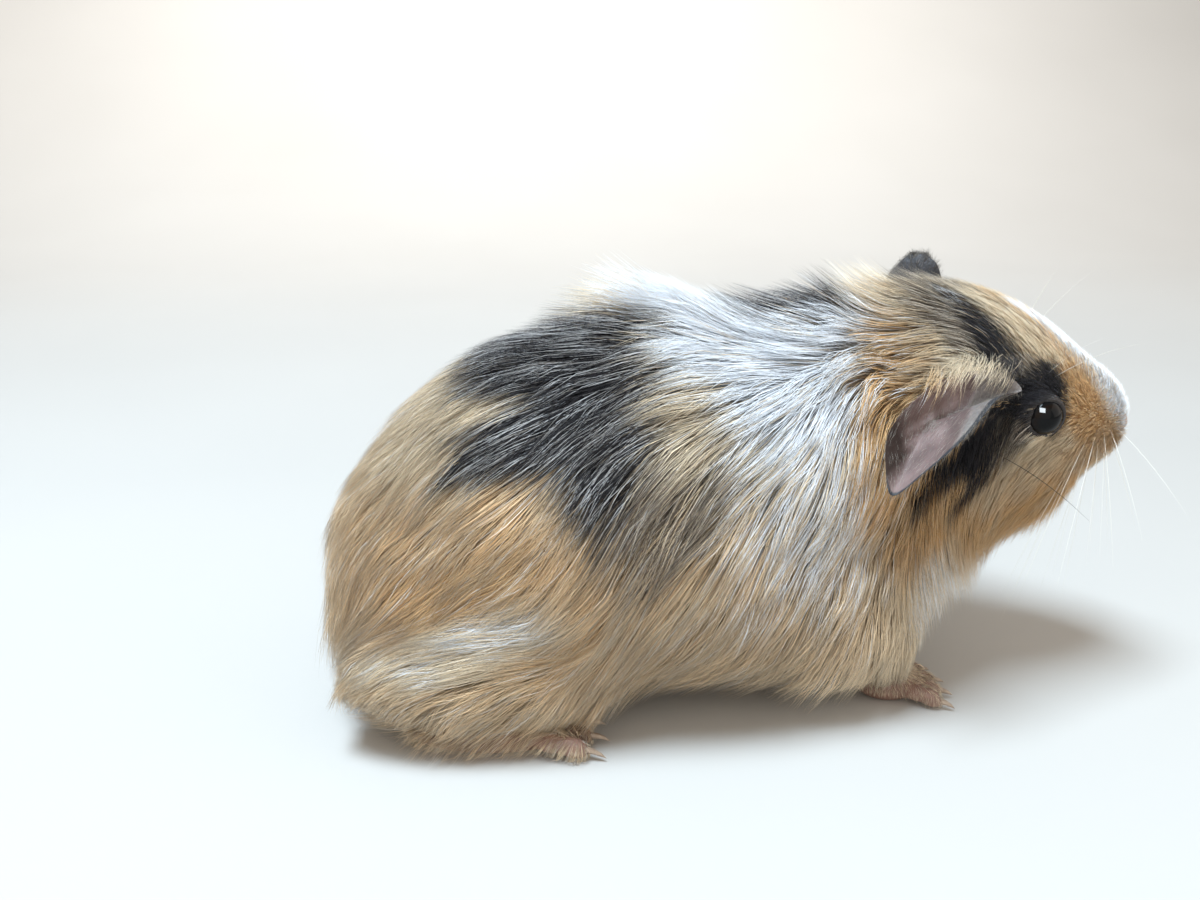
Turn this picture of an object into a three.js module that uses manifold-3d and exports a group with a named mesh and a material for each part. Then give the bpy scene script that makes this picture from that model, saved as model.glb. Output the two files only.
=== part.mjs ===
// A life-size still model of a young guinea pig standing on all fours, in millimetres.
// The solids have the outline of the animal with its coat on. +X runs from rump to nose,
// +Y to the animal's left, +Z up, and the floor is Z = 0.
import * as THREE from "three";
import { mergeVertices } from "three/addons/utils/BufferGeometryUtils.js";
import Module from "manifold-3d";

const wasm = await Module();
wasm.setup();

// ---------- driving sizes ----------
const GAP = 0.3; // free space between two pieces that meet
const FLOOR = 0;
const SIDES = { left: 1, right: -1 };

// The head has a frame of its own: origin at the nape, x to the nose, y to its left, z to the crown.
const NAPE = new THREE.Vector3(58, 0, 99);
const HEAD_TURN = { yaw: -13, pitch: 9, roll: 14 };

const EYE = { radius: 5.6, forward: 33.4, out: 20.4, up: 0.2 };
const NOSE = { forward: 62, up: -7.5, size: [4, 5.6, 4.6], dip: 14 };
const CHIN = { at: [53, 0, -25.5], size: [13, 9.5, 9], dip: -38 };

// ---------- round forms of the coat ----------
// Each lobe is an ellipsoid: its centre, its three half sizes, and how far its front dips, in
// degrees. A lobe marked as a pair also stands mirrored on the right side.
const BODY = {
  barrel: { at: [-12, 0, 67], size: [56, 46, 50] },
  loin: { at: [-49, 0, 60.5], size: [49, 43, 48], dip: -17 },
  rump: { at: [-75, 0, 44], size: [38, 39, 38.5], dip: -26 },
  shoulders: { at: [26, 0, 72], size: [44, 39, 46] },
  neck: { at: [58, 0, 84], size: [30, 31, 33] },
  chest: { at: [50, 0, 47], size: [30, 29, 33] },
  flank: { at: [-2, 22, 40], size: [54, 23, 26], pair: true },
  elbow: { at: [33, 24, 27], size: [24, 14, 18], pair: true },
  seat: { at: [-85, 0, 29], size: [24, 35, 20] },
  crest: { at: [-22, -2, 112], size: [16, 9, 9], dip: -14 },
};
const HEAD = {
  skull: { at: [16, 0, -1], size: [33, 24, 24], dip: 12 },
  brow: { at: [34, 0, -4.5], size: [23, 18.5, 15.5], dip: 26 },
  muzzle: { at: [49.8, 0, -7], size: [16, 13, 13.5], dip: 26 },
  jaw: { at: [31, 0, -31], size: [25, 15.5, 15.5], dip: -24 },
  throat: { at: [12, 0, -37], size: [25, 20, 19], dip: -24 },
  cheek: { at: [28, 12, -25], size: [24, 13, 20], dip: -25, pair: true },
};
const LEG = {
  haunch: { at: [-52, 25, 40], size: [36, 22, 34], pair: true },
  shank: { at: [-69, 30, 22], size: [39, 17, 18], dip: 4, pair: true },
  foreleg: { at: [48, 20, 20], size: [12, 10.5, 20], pair: true },
};
const BLEND = { body: 6, head: 4, legs: 3, nape: 14, hip: 8 };

// ---------- feet ----------
// The sole is an ellipsoid on the floor, turned outwards by the splay. Its toes start at the knuckle
// distance ahead of its middle, side by side at the spacing, and fan apart by the angle given.
const FOREFOOT = {
  sole: { at: [52.5, 20.5, 4.4], size: [10, 6.6, 5.4] },
  splay: 4,
  toes: 4,
  fan: 17,
  spacing: 3,
  knuckle: 5,
  toeLength: 10,
  toeRadius: 2.2,
  clawLength: 4.6,
};
const HINDFOOT = {
  sole: { at: [-67, 34, 4.6], size: [22, 6.8, 5.6] },
  splay: 6,
  toes: 3,
  fan: 11,
  spacing: 4,
  knuckle: 13.5,
  toeLength: 14,
  toeRadius: 2.6,
  clawLength: 5.8,
};
const CLAW = { root: 1.15, tipHeight: 1.1 };

// ---------- ears ----------
// The rim of the ear, as distances along its length, across its width and outwards. The first
// point is the front root behind the eye. The free lower edge runs from there to the hanging rear
// tip, and the attached edge comes back along the head.
const EAR = {
  rim: [
    [0, 0, 0],
    [7, 2.8, 3],
    [14, 3.2, 4.8],
    [24, 2.3, 5.4],
    [36, 0.8, 3.4],
    [45.5, 0.5, 0.6],
    [43, 6, 0.6],
    [35, 13, 0.4],
    [22, 15, -0.6],
    [11, 13.5, 0],
    [3.5, 8.5, 0.8],
  ],
  middle: [22, 8, 0],
  wall: 1.5,
};
// Where each ear's front root is on the head, which way its length and width go, how deep its middle
// is pressed in, how far its tip bends down, and the share of the full length it has, told as for a
// left ear. The right ear hangs back along the cheek, and the left one arches out beside the crown.
const EAR_POSE = {
  right: {
    root: [22.6, 27.2, 9.4],
    length: [-0.631, 0.607, -0.483],
    width: [-0.768, -0.406, 0.495],
    cup: 6.5,
    droop: 0,
    reach: 1,
  },
  left: {
    root: [8.4, 18.3, 11.1],
    length: [-0.25, 0.95, 0.204],
    width: [-0.79, -0.577, -0.209],
    cup: -15.6,
    droop: 23,
    reach: 0.62,
  },
};

const rad = THREE.MathUtils.degToRad;

function lobesOf(group) {
  return Object.values(group).flatMap((lobe) => {
    const [x, y, z] = lobe.at;
    const lie = rad(lobe.dip ?? 0);
    const sides = lobe.pair ? [1, -1] : [1];
    return sides.map((side) => ({
      centre: [x, side * y, z],
      size: lobe.size,
      cos: Math.cos(lie),
      sin: Math.sin(lie),
    }));
  });
}

// Near distance from a point to an ellipsoid: negative inside it, and zero on its surface.
function lobeDistance(lobe, x, y, z) {
  const [a, b, c] = lobe.size;
  const dx = x - lobe.centre[0];
  const dy = y - lobe.centre[1];
  const dz = z - lobe.centre[2];
  const u = dx * lobe.cos - dz * lobe.sin;
  const w = dx * lobe.sin + dz * lobe.cos;
  const near = Math.hypot(u / a, dy / b, w / c);
  const slope = Math.hypot(u / (a * a), dy / (b * b), w / (c * c)) + 1e-9;
  return (near * (near - 1)) / slope;
}

// Union of lobes whose creases are filled softly over the length `soft`.
function groupDistance(lobes, soft, x, y, z) {
  const all = lobes.map((lobe) => lobeDistance(lobe, x, y, z));
  const least = Math.min(...all);
  const sum = all.reduce((total, d) => total + Math.exp((least - d) / soft), 0);
  return least - soft * Math.log(sum);
}

function softUnion(a, b, soft) {
  const share = THREE.MathUtils.clamp(0.5 + (0.5 * (b - a)) / soft, 0, 1);
  return b * (1 - share) + a * share - soft * share * (1 - share);
}

const headPlace = new THREE.Matrix4().makeRotationFromEuler(
  new THREE.Euler(rad(HEAD_TURN.roll), rad(HEAD_TURN.pitch), rad(HEAD_TURN.yaw), "ZYX"),
);
headPlace.setPosition(NAPE);
const headInverse = headPlace.clone().invert();
const inHead = (x, y, z) => new THREE.Vector3(x, y, z).applyMatrix4(headPlace);

const bodyLobes = lobesOf(BODY);
const headLobes = lobesOf(HEAD);
const legLobes = lobesOf(LEG);

// Distance to the coat of the whole animal without its feet.
function coatDistance(point) {
  const q = point.clone().applyMatrix4(headInverse);
  const body = groupDistance(bodyLobes, BLEND.body, point.x, point.y, point.z);
  const head = groupDistance(headLobes, BLEND.head, q.x, q.y, q.z);
  const legs = groupDistance(legLobes, BLEND.legs, point.x, point.y, point.z);
  return softUnion(softUnion(body, head, BLEND.nape), legs, BLEND.hip);
}

// ---------- meshes ----------
function meshGeometry(points, triangles) {
  const geometry = new THREE.BufferGeometry();
  geometry.setAttribute("position", new THREE.Float32BufferAttribute(points, 3));
  geometry.setIndex(triangles);
  return geometry;
}

// Rings of points closed by one point at each end. `at(ring, share)` gives the point for a ring
// and a share of the way round; ring 0 and the last ring are the two end points.
function ringsGeometry(rings, around, at) {
  const points = [...at(0, 0).toArray()];
  for (let i = 1; i < rings; i++)
    for (let j = 0; j < around; j++) points.push(...at(i, j / around).toArray());
  points.push(...at(rings, 0).toArray());
  const last = points.length / 3 - 1;
  const index = (i, j) => 1 + (i - 1) * around + (j % around);
  const triangles = [];
  for (let j = 0; j < around; j++) {
    triangles.push(0, index(1, j + 1), index(1, j));
    triangles.push(last, index(rings - 1, j), index(rings - 1, j + 1));
    for (let i = 1; i < rings - 1; i++) {
      triangles.push(index(i, j), index(i, j + 1), index(i + 1, j));
      triangles.push(index(i, j + 1), index(i + 1, j + 1), index(i + 1, j));
    }
  }
  return meshGeometry(points, triangles);
}

// A frame of three axes on a curve: along it, to the side, and up.
function frameOn(curve, share) {
  const along = curve.getTangent(share);
  const side = new THREE.Vector3(0, 0, 1).cross(along).normalize();
  return { along, side, up: along.clone().cross(side) };
}

// The surface distance(point) = 0, found by going inwards from `reach` along rays that fan out
// from the spine: backwards at its start, sideways at its middle and forwards at its end.
function fanSurface(distance, spine, reach, rings, around) {
  return ringsGeometry(rings, around, (ring, share) => {
    const along = ring / rings;
    const { along: ahead, side, up } = frameOn(spine, along);
    const turn = Math.PI * along;
    const round = 2 * Math.PI * share;
    const ray = ahead.multiplyScalar(-Math.cos(turn));
    ray.addScaledVector(side, Math.sin(turn) * Math.cos(round));
    ray.addScaledVector(up, Math.sin(turn) * Math.sin(round)).normalize();
    const start = spine.getPoint(along);
    let r = reach;
    for (let step = 0; step < 100; step++)
      r -= 0.7 * distance(start.clone().addScaledVector(ray, r));
    return start.addScaledVector(ray, r);
  });
}

// A round tube on a curve. Its radius follows `radius(share)`, and each end closes to a point.
function taperTube(curve, radius, rings, around) {
  return ringsGeometry(rings, around, (ring, share) => {
    const along = ring / rings;
    const { side, up } = frameOn(curve, along);
    const round = 2 * Math.PI * share;
    const r = ring === 0 || ring === rings ? 0 : radius(along);
    const point = curve.getPoint(along).addScaledVector(side, r * Math.cos(round));
    return point.addScaledVector(up, r * Math.sin(round));
  });
}

function toSolid(geometry) {
  const bare = geometry.clone();
  bare.deleteAttribute("normal");
  bare.deleteAttribute("uv");
  const merged = mergeVertices(bare, 1e-4);
  const mesh = new wasm.Mesh({
    numProp: 3,
    vertProperties: merged.attributes.position.array,
    triVerts: new Uint32Array(merged.index.array),
  });
  return new wasm.Manifold(mesh);
}

function toGeometry(solid) {
  const mesh = solid.getMesh();
  const geometry = meshGeometry(mesh.vertProperties, Array.from(mesh.triVerts));
  geometry.computeVertexNormals();
  return geometry;
}

// The largest body of a solid: slivers that a cut leaves loose are dropped.
function mainBody(solid) {
  return solid.decompose().reduce((most, body) => (body.volume() > most.volume() ? body : most));
}

// A thin solid made fatter by `by` on every side: the union of copies moved along each axis.
function swollen(solid, by) {
  const moves = [-by, by].flatMap((d) => [[d, 0, 0], [0, d, 0], [0, 0, d]]);
  return moves.reduce((all, move) => all.add(solid.translate(move)), solid);
}

// An ellipsoid, made larger by `grow`, dipped at its front, then turned and placed.
function ball({ at, size, dip = 0 }, { grow = 0, turn = 0, place = null, fine = 12 } = {}) {
  const geometry = new THREE.SphereGeometry(1, 2 * fine, fine);
  geometry.rotateX(Math.PI / 2);
  geometry.scale(...size.map((s) => s + grow));
  geometry.rotateY(rad(dip));
  geometry.rotateZ(rad(turn));
  geometry.translate(...at);
  if (place) geometry.applyMatrix4(place);
  return toSolid(geometry);
}

// A half space that starts on a plane through `point` and goes on along `normal`.
function beyond(point, normal) {
  const geometry = new THREE.BoxGeometry(400, 400, 400).translate(200, 0, 0);
  const ahead = new THREE.Vector3(1, 0, 0);
  geometry.applyQuaternion(new THREE.Quaternion().setFromUnitVectors(ahead, normal));
  geometry.translate(...point.toArray());
  return toSolid(geometry);
}

const down = new THREE.Vector3(0, 0, -1);
const underFloor = (height) => beyond(new THREE.Vector3(0, 0, FLOOR + height), down);

// ---------- making the feet ----------
// A toe lies forward from the sole, arched a little, with its claw beyond the tip.
function toesOf(foot, side) {
  const [x, y] = foot.sole.at;
  const heading = rad(side * foot.splay);
  return Array.from({ length: foot.toes }, (_, i) => {
    const place = i - (foot.toes - 1) / 2;
    const turn = heading + side * place * rad(foot.fan);
    const ahead = new THREE.Vector3(Math.cos(turn), Math.sin(turn), 0);
    const back = Math.abs(place) * 0.8;
    const root = new THREE.Vector3(foot.knuckle - back, side * place * foot.spacing, 0);
    root.applyAxisAngle(new THREE.Vector3(0, 0, 1), heading);
    root.add(new THREE.Vector3(x, side * y, foot.toeRadius + 1.4));
    const tip = root.clone().addScaledVector(ahead, foot.toeLength).setZ(foot.toeRadius * 0.9);
    const bend = root.clone().lerp(tip, 0.5).setZ(foot.toeRadius + 2.4);
    return { ahead, curve: new THREE.QuadraticBezierCurve3(root, bend, tip) };
  });
}

function toeSolid(foot, toe, grow) {
  const plump = (share) => foot.toeRadius * Math.sqrt(1 - Math.pow(2 * share - 1, 4)) + grow;
  return toSolid(taperTube(toe.curve, plump, 5, 6));
}

// A claw grows from inside the toe's tip and curves down to a point just off the floor.
function clawSolid(foot, toe, grow) {
  const start = toe.curve.getPoint(0.84);
  start.z = foot.toeRadius * 1.15;
  const end = toe.curve.getPoint(1).addScaledVector(toe.ahead, foot.clawLength);
  end.z = FLOOR + CLAW.tipHeight;
  const bend = start.clone().lerp(end, 0.6);
  bend.z = foot.toeRadius * 1.4;
  const curve = new THREE.QuadraticBezierCurve3(start, bend, end);
  const taper = (share) => grow + CLAW.root * Math.pow(1 - share, 0.6);
  return toSolid(taperTube(curve, taper, 4, 6));
}

function footSolid(foot, side, grow) {
  const [x, y, z] = foot.sole.at;
  const sole = { at: [x, side * y, z], size: foot.sole.size };
  let solid = ball(sole, { grow, turn: side * foot.splay, fine: 6 });
  for (const toe of toesOf(foot, side)) solid = solid.add(toeSolid(foot, toe, grow));
  return solid.subtract(underFloor(0));
}

// ---------- making the ears ----------
const earRim = new THREE.CatmullRomCurve3(
  EAR.rim.map((point) => new THREE.Vector3(...point)),
  true,
);

// A leaf with the ear's outline and its wall's thickness, pressed in at its middle by its cup.
function earSolid(name) {
  const pose = EAR_POSE[name];
  const long = new THREE.Vector3(...pose.length).normalize();
  const wide = new THREE.Vector3(...pose.width);
  wide.addScaledVector(long, -wide.dot(long)).normalize();
  const place = new THREE.Matrix4().makeBasis(long, wide, long.clone().cross(wide));
  place.setPosition(...pose.root);
  if (name === "right") place.premultiply(new THREE.Matrix4().makeScale(1, -1, 1));
  place.premultiply(headPlace);
  const rings = 3;
  const leaf = ringsGeometry(2 * rings, 18, (ring, share) => {
    const reach = (ring < rings ? ring : 2 * rings - ring) / rings;
    const face = Math.sign(rings - ring);
    const round = name === "right" ? share : 1 - share;
    const point = new THREE.Vector3(...EAR.middle).lerp(earRim.getPoint(round), reach);
    const bend = pose.droop * Math.pow(point.x / 45, 2);
    point.z += (face * EAR.wall) / 2 - pose.cup * (1 - reach * reach) - bend;
    point.x *= pose.reach;
    return point.applyMatrix4(place);
  });
  return toSolid(leaf);
}

// ---------- the whole animal, then its parts ----------
const spine = new THREE.CatmullRomCurve3([
  new THREE.Vector3(-72, 0, 50),
  new THREE.Vector3(0, 0, 66),
  new THREE.Vector3(55, 0, 80),
  inHead(40, 0, -14),
]);
let whole = toSolid(fanSurface(coatDistance, spine, 150, 34, 26));
for (const side of Object.values(SIDES)) {
  const [x, y, z] = LEG.foreleg.at;
  whole = whole.add(ball({ at: [x, side * y, z], size: LEG.foreleg.size }, { fine: 6 }));
}
whole = whole.subtract(underFloor(0.4));

const solids = {};
for (const [name, side] of Object.entries(SIDES)) {
  for (const [kind, foot] of Object.entries({ forefoot: FOREFOOT, hindfoot: HINDFOOT })) {
    let solid = footSolid(foot, side, 0);
    whole = whole.subtract(footSolid(foot, side, GAP));
    toesOf(foot, side).forEach((toe, i) => {
      solids[`${kind}_${name}_claw_${i + 1}`] = clawSolid(foot, toe, 0);
      solid = solid.subtract(clawSolid(foot, toe, GAP));
      whole = whole.subtract(clawSolid(foot, toe, GAP));
    });
    solids[`${kind}_${name}`] = solid;
  }
  const eye = { at: [EYE.forward, side * EYE.out, EYE.up], size: Array(3).fill(EYE.radius) };
  solids[`eye_${name}`] = ball(eye, { place: headPlace, fine: 7 });
  whole = whole.subtract(ball(eye, { grow: GAP, place: headPlace, fine: 7 }));
  solids[`ear_${name}`] = earSolid(name);
  whole = whole.subtract(swollen(solids[`ear_${name}`], 1.3 * GAP));
}

// Takes what lies inside a rounded region out of the remaining body as a piece of its own.
function part(name, region, options) {
  solids[name] = whole.intersect(ball(region, options));
  whole = whole.subtract(ball(region, { ...options, grow: GAP }));
}
const nose = { at: [NOSE.forward, 0, NOSE.up], size: NOSE.size, dip: NOSE.dip };
part("nose", nose, { place: headPlace, fine: 6 });
part("lower_jaw", CHIN, { place: headPlace, fine: 6 });
for (const [name, side] of Object.entries(SIDES)) {
  part(`hindleg_${name}`, { at: [-66, side * 40, 20], size: [44, 31, 36], dip: 12 }, { fine: 7 });
  part(`foreleg_${name}`, { at: [48, side * 26, 18], size: [20, 17, 30] }, { fine: 6 });
}

// The rump, trunk, neck and head are slices of what is left, parted by planes across the spine.
const CUTS = [
  { behind: "rump", at: [-58, 0, 62], lean: [1, 0, 0.22] },
  { behind: "trunk", at: [47, 0, 84], lean: [1, 0, 0.5] },
  { behind: "neck", at: [64, 0, 84], lean: [1, -0.2, 0.55] },
];
for (const { behind, at, lean } of CUTS) {
  const normal = new THREE.Vector3(...lean).normalize();
  const point = new THREE.Vector3(...at);
  solids[behind] = whole.subtract(beyond(point.clone().addScaledVector(normal, -GAP), normal));
  whole = whole.intersect(beyond(point, normal));
}
solids.head = whole;

// ---------- finishes ----------
const finish = (color, roughness) => () =>
  new THREE.MeshStandardMaterial({ color, roughness, metalness: 0 });
const FINISHES = [
  [/^eye/, finish(0x0b0a0c, 0.05)],
  [/claw/, finish(0xcdb8a4, 0.4)],
  [/^nose/, finish(0xb58478, 0.45)],
  [/^ear/, finish(0xa58a86, 0.55)],
  [/foot/, finish(0xb98d80, 0.6)],
  [/^(head|rump|hindleg)/, finish(0xd9bd93, 0.85)],
  [/^(lower_jaw|neck)/, finish(0xc99a5e, 0.85)],
  [/./, finish(0xe6e2da, 0.85)],
];

const guineaPig = new THREE.Group();
guineaPig.name = "guinea_pig";
for (const [name, solid] of Object.entries(solids)) {
  const [, material] = FINISHES.find(([pattern]) => pattern.test(name));
  const mesh = new THREE.Mesh(toGeometry(mainBody(solid)), material());
  mesh.name = name;
  guineaPig.add(mesh);
}

// The part's origin is on the floor under the middle of its box.
const box = new THREE.Box3().setFromObject(guineaPig);
const middle = box.getCenter(new THREE.Vector3()).setZ(box.min.z);
for (const mesh of guineaPig.children) mesh.position.sub(middle);

export default guineaPig;
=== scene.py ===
import bpy
import numpy as np
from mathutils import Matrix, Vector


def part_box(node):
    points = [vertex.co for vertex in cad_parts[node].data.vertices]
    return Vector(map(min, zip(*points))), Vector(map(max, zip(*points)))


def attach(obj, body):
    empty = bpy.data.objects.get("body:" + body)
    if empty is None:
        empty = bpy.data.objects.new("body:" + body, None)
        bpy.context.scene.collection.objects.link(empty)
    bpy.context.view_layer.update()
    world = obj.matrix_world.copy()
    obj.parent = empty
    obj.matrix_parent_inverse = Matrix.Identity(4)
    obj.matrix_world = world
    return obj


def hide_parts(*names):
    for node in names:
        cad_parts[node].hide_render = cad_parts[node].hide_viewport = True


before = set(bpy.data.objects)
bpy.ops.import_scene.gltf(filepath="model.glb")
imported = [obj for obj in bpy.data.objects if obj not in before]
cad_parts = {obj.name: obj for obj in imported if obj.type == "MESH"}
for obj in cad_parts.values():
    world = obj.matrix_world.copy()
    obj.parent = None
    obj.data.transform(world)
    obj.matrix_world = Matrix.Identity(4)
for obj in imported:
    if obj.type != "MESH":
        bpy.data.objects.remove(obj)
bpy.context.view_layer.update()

import openvdb
from mathutils import Vector

RNG = np.random.default_rng(4)
rad = np.radians

# ---------------------------------------------------------------- the animal's own frame
# Millimetres, X to the nose, Y to the animal's left, Z up from the floor. The head has a frame of
# its own at the nape, turned to the right, nodding and rolled.
NAPE = np.array([58.0, 0.0, 99.0])


def turned(yaw, pitch, roll):
    """Rotation matrix: roll about X, then pitch about Y, then yaw about Z."""
    (cy, cp, cr), (sy, sp, sr) = np.cos(rad([yaw, pitch, roll])), np.sin(rad([yaw, pitch, roll]))
    about_z = np.array([[cy, -sy, 0], [sy, cy, 0], [0, 0, 1]])
    about_y = np.array([[cp, 0, sp], [0, 1, 0], [-sp, 0, cp]])
    about_x = np.array([[1, 0, 0], [0, cr, -sr], [0, sr, cr]])
    return about_z @ about_y @ about_x


HEAD_TURN = turned(-13, 9, 14)


def from_head(q):
    return NAPE + np.asarray(q, float) @ HEAD_TURN.T


def to_head(p):
    return (p - NAPE) @ HEAD_TURN


EYE = {"at": np.array([33.4, 20.4, 0.2]), "radius": 5.6}
FLIP = np.array([1.0, -1.0, 1.0])
eye_low, eye_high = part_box("eye_right")
SHIFT = (np.array(eye_low) + np.array(eye_high)) * 500 - from_head(EYE["at"] * FLIP)


def to_metres(p):
    return (np.asarray(p) + SHIFT) / 1000


def fewer(count):
    """The count, as a whole number."""
    return int(count * (1))


def dipped(q, dip):
    """Points turned about Y by the dip in degrees, so that what dips is met level."""
    c, s = np.cos(rad(dip)), np.sin(rad(dip))
    return np.stack([q[:, 0] * c - q[:, 2] * s, q[:, 1], q[:, 0] * s + q[:, 2] * c], 1)


# ---------------------------------------------------------------- form
# Lobes: centre, radii, dip in degrees (nose end down). A pair is given once, on the left.
BODY = [
    (-12, 0, 67, 56, 46, 50, 0),
    (-49, 0, 60.5, 49, 43, 48, -17),
    (-75, 0, 44, 38, 39, 38.5, -26),
    (26, 0, 72, 44, 39, 46, 0),
    (58, 0, 84, 30, 31, 33, 0),
    (50, 0, 47, 30, 29, 33, 0),
    (-2, 22, 40, 54, 23, 26, 0),
    (33, 24, 27, 24, 14, 18, 0),
    (-85, 0, 29, 24, 35, 20, 0),
    (-22, -2, 112, 16, 9, 9, -14),
]
HEAD = [
    (16, 0, -1, 33, 24, 24, 12),
    (34, 0, -4.5, 23, 18.5, 15.5, 26),
    (49.8, 0, -7, 16, 13, 13.5, 26),
    (31, 0, -31, 25, 15.5, 15.5, -24),
    (12, 0, -37, 25, 20, 19, -24),
    (28, 12, -25, 24, 13, 20, -25),
]
LEGS = [
    (-52, 25, 40, 36, 22, 34, 0),
    (-69, 30, 22, 39, 17, 18, 4),
    (48, 20, 20, 12, 10.5, 20, 0),
]
FOREFOOT = dict(sole=(52.5, 20.5, 4.4, 10, 6.6, 5.4), splay=4, toes=4, fan=17, spacing=3, knuckle=5,
                toe_length=10, toe_radius=2.2, claw_length=4.6)
HINDFOOT = dict(sole=(-67, 34, 4.6, 22, 6.8, 5.6), splay=6, toes=3, fan=11, spacing=4,
                knuckle=13.5, toe_length=14, toe_radius=2.6, claw_length=5.8)
COAT_DEPTH = {"body": 9.5, "head": 2.4, "legs": 4.0}


def paired(rows, least=5.0):
    """Each row, and its mirror image across the middle plane where it stands off that plane."""
    rows = [np.array(r, float) for r in rows]
    mirror = [np.concatenate([r[:1], -r[1:2], r[2:]]) for r in rows if r[1] > least]
    return rows + mirror


BODY, HEAD, LEGS = paired(BODY), paired(HEAD), paired(LEGS)


def lobe(p, row):
    """k0 (k0 - 1) / k1, near the distance to an ellipsoid: k0 is the length of the point over the
    radii and k1 its length over their squares."""
    q = p - row[:3]
    if row[6]:
        q = dipped(q, row[6])
    q = q / row[3:6]
    k0 = np.sqrt((q * q).sum(1))
    q = q / row[3:6]
    return k0 * (k0 - 1) / (np.sqrt((q * q).sum(1)) + 1e-9)


def melt(p, rows, soft):
    """Soft union of lobes: least distance less soft times the log of summed exponentials."""
    d = np.stack([lobe(p, r) for r in rows])
    least = d.min(0)
    return least - soft * np.log(np.exp((least - d) / soft).sum(0))


def join(a, b, soft):
    """Soft least of two distances, rounded over a width of soft."""
    h = np.clip(0.5 + 0.5 * (b - a) / soft, 0, 1)
    return b * (1 - h) + a * h - soft * h * (1 - h)


def form(p, body=0.0, head=0.0, legs=0.0):
    """Distance to the joined form, with each group drawn in by its own depth."""
    trunk = join(melt(p, BODY, 6.0) + body, melt(to_head(p), HEAD, 4.0) + head, 14.0)
    return join(trunk, melt(p, LEGS, 3.0) + legs, 8.0)


def coat_surface(p):
    return form(p)


def outward(field, p, h=0.3):
    """Unit gradient of a distance, from its values at four corners round each point."""
    corners = np.array([[1, -1, -1], [-1, -1, 1], [-1, 1, -1], [1, 1, 1]], float)
    g = sum(c * field(p + h * c)[:, None] for c in corners)
    return g / (np.linalg.norm(g, axis=1, keepdims=True) + 1e-9)


# ---------------------------------------------------------------- feet
def toe_lines(foot, side):
    """Bezier line of each toe: root, bend and tip points, and the way it points on the floor."""
    x, y, _ = foot["sole"][:3]
    lines = []
    for i in range(foot["toes"]):
        place = i - (foot["toes"] - 1) / 2
        heading = rad(side * foot["splay"])
        turn = heading + side * place * rad(foot["fan"])
        ahead = np.array([np.cos(turn), np.sin(turn), 0])
        a, b = foot["knuckle"] - 0.8 * abs(place), side * place * foot["spacing"]
        root = np.array([x + a * np.cos(heading) - b * np.sin(heading),
                         side * y + a * np.sin(heading) + b * np.cos(heading),
                         foot["toe_radius"] + 1.4])
        tip = root + ahead * foot["toe_length"]
        tip[2] = 0.9 * foot["toe_radius"]
        bend = (root + tip) / 2
        bend[2] = foot["toe_radius"] + 2.4
        lines.append((root, bend, tip, ahead))
    return lines


def bezier(a, b, c, s):
    s = np.asarray(s)[:, None]
    return a * (1 - s) ** 2 + 2 * b * s * (1 - s) + c * s * s


def foot_surface(p):
    """Soft union of each sole's ellipsoid and the balls strung along its toes' lines."""
    d = np.full(len(p), 40.0)
    low = np.flatnonzero(p[:, 2] < 16)
    s = np.linspace(0.04, 0.96, 13)
    for foot in (FOREFOOT, HINDFOOT):
        sole = np.array(foot["sole"], float)
        for side in (1, -1):
            centre = sole[:3] * [1, side, 1]
            near = low[np.abs(p[low] - centre).max(1) < 34]
            if not len(near):
                continue
            q = p[near]
            c, sn = np.cos(rad(side * foot["splay"])), np.sin(rad(side * foot["splay"]))
            r = q - centre
            flat = np.stack([r[:, 0] * c + r[:, 1] * sn, r[:, 1] * c - r[:, 0] * sn, r[:, 2]], 1)
            found = lobe(flat, np.array([0, 0, 0, *sole[3:], 0]))
            for root, bend, tip, _ in toe_lines(foot, side):
                centres = bezier(root, bend, tip, s)
                radii = foot["toe_radius"] * np.sqrt(1 - (2 * s - 1) ** 4)
                radii *= 1 - 0.10 * np.cos(4 * np.pi * s)
                gap = np.linalg.norm(q[:, None] - centres, axis=2) - radii
                low_gap = gap.min(1)
                toe = low_gap - 0.25 * np.log(np.exp((low_gap[:, None] - gap) / 0.25).sum(1))
                found = join(found, toe, 1.2)
            d[near] = np.minimum(d[near], found)
    return d


def eye_frames():
    """Each eye's side, centre and outward line, in the animal's frame."""
    for side in (-1, 1):
        at = EYE["at"] * [1, side, 1]
        out = np.array([0.27, side * 0.93, 0.2])
        yield side, from_head(at), HEAD_TURN @ (out / np.linalg.norm(out))


LID = {"reach": 6.4, "opening": 3.5}


def skin_surface(p):
    """The form drawn in by the coat's depth, with the feet, the lids round each eye, the mouth's
    line under the nose, and the floor cut flat."""
    d = form(p, COAT_DEPTH["body"], COAT_DEPTH["head"], COAT_DEPTH["legs"])
    d = join(d, foot_surface(p), 3.0)
    for _, centre, out in eye_frames():
        near = np.flatnonzero(np.abs(p - centre).max(1) < 14)
        q = p[near] - centre
        rise = q @ out
        ball = np.linalg.norm(q, axis=1)
        lids = -join(LID["reach"] - ball, LID["opening"] - rise, 1.1)
        d[near] = -join(-join(d[near], lids, 2.2), ball - EYE["radius"] + 0.4, 0.4)
    h = to_head(p)
    mouth = np.flatnonzero((h[:, 0] > 40) & (np.abs(h[:, 1]) < 14) & (h[:, 2] < 2))
    q = h[mouth]
    groove = np.abs(q[:, 2] + 17.5 + 0.045 * q[:, 1] ** 2 + 0.25 * (q[:, 0] - 56))
    split = np.abs(q[:, 1]) + np.maximum(q[:, 2] + 11, 0) + np.maximum(-18 - q[:, 2], 0)
    d[mouth] += 1.5 * np.exp(-(groove / 1.1) ** 2) + 1.2 * np.exp(-(split / 1.2) ** 2)
    return np.maximum(d, 0.1 - p[:, 2])


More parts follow.
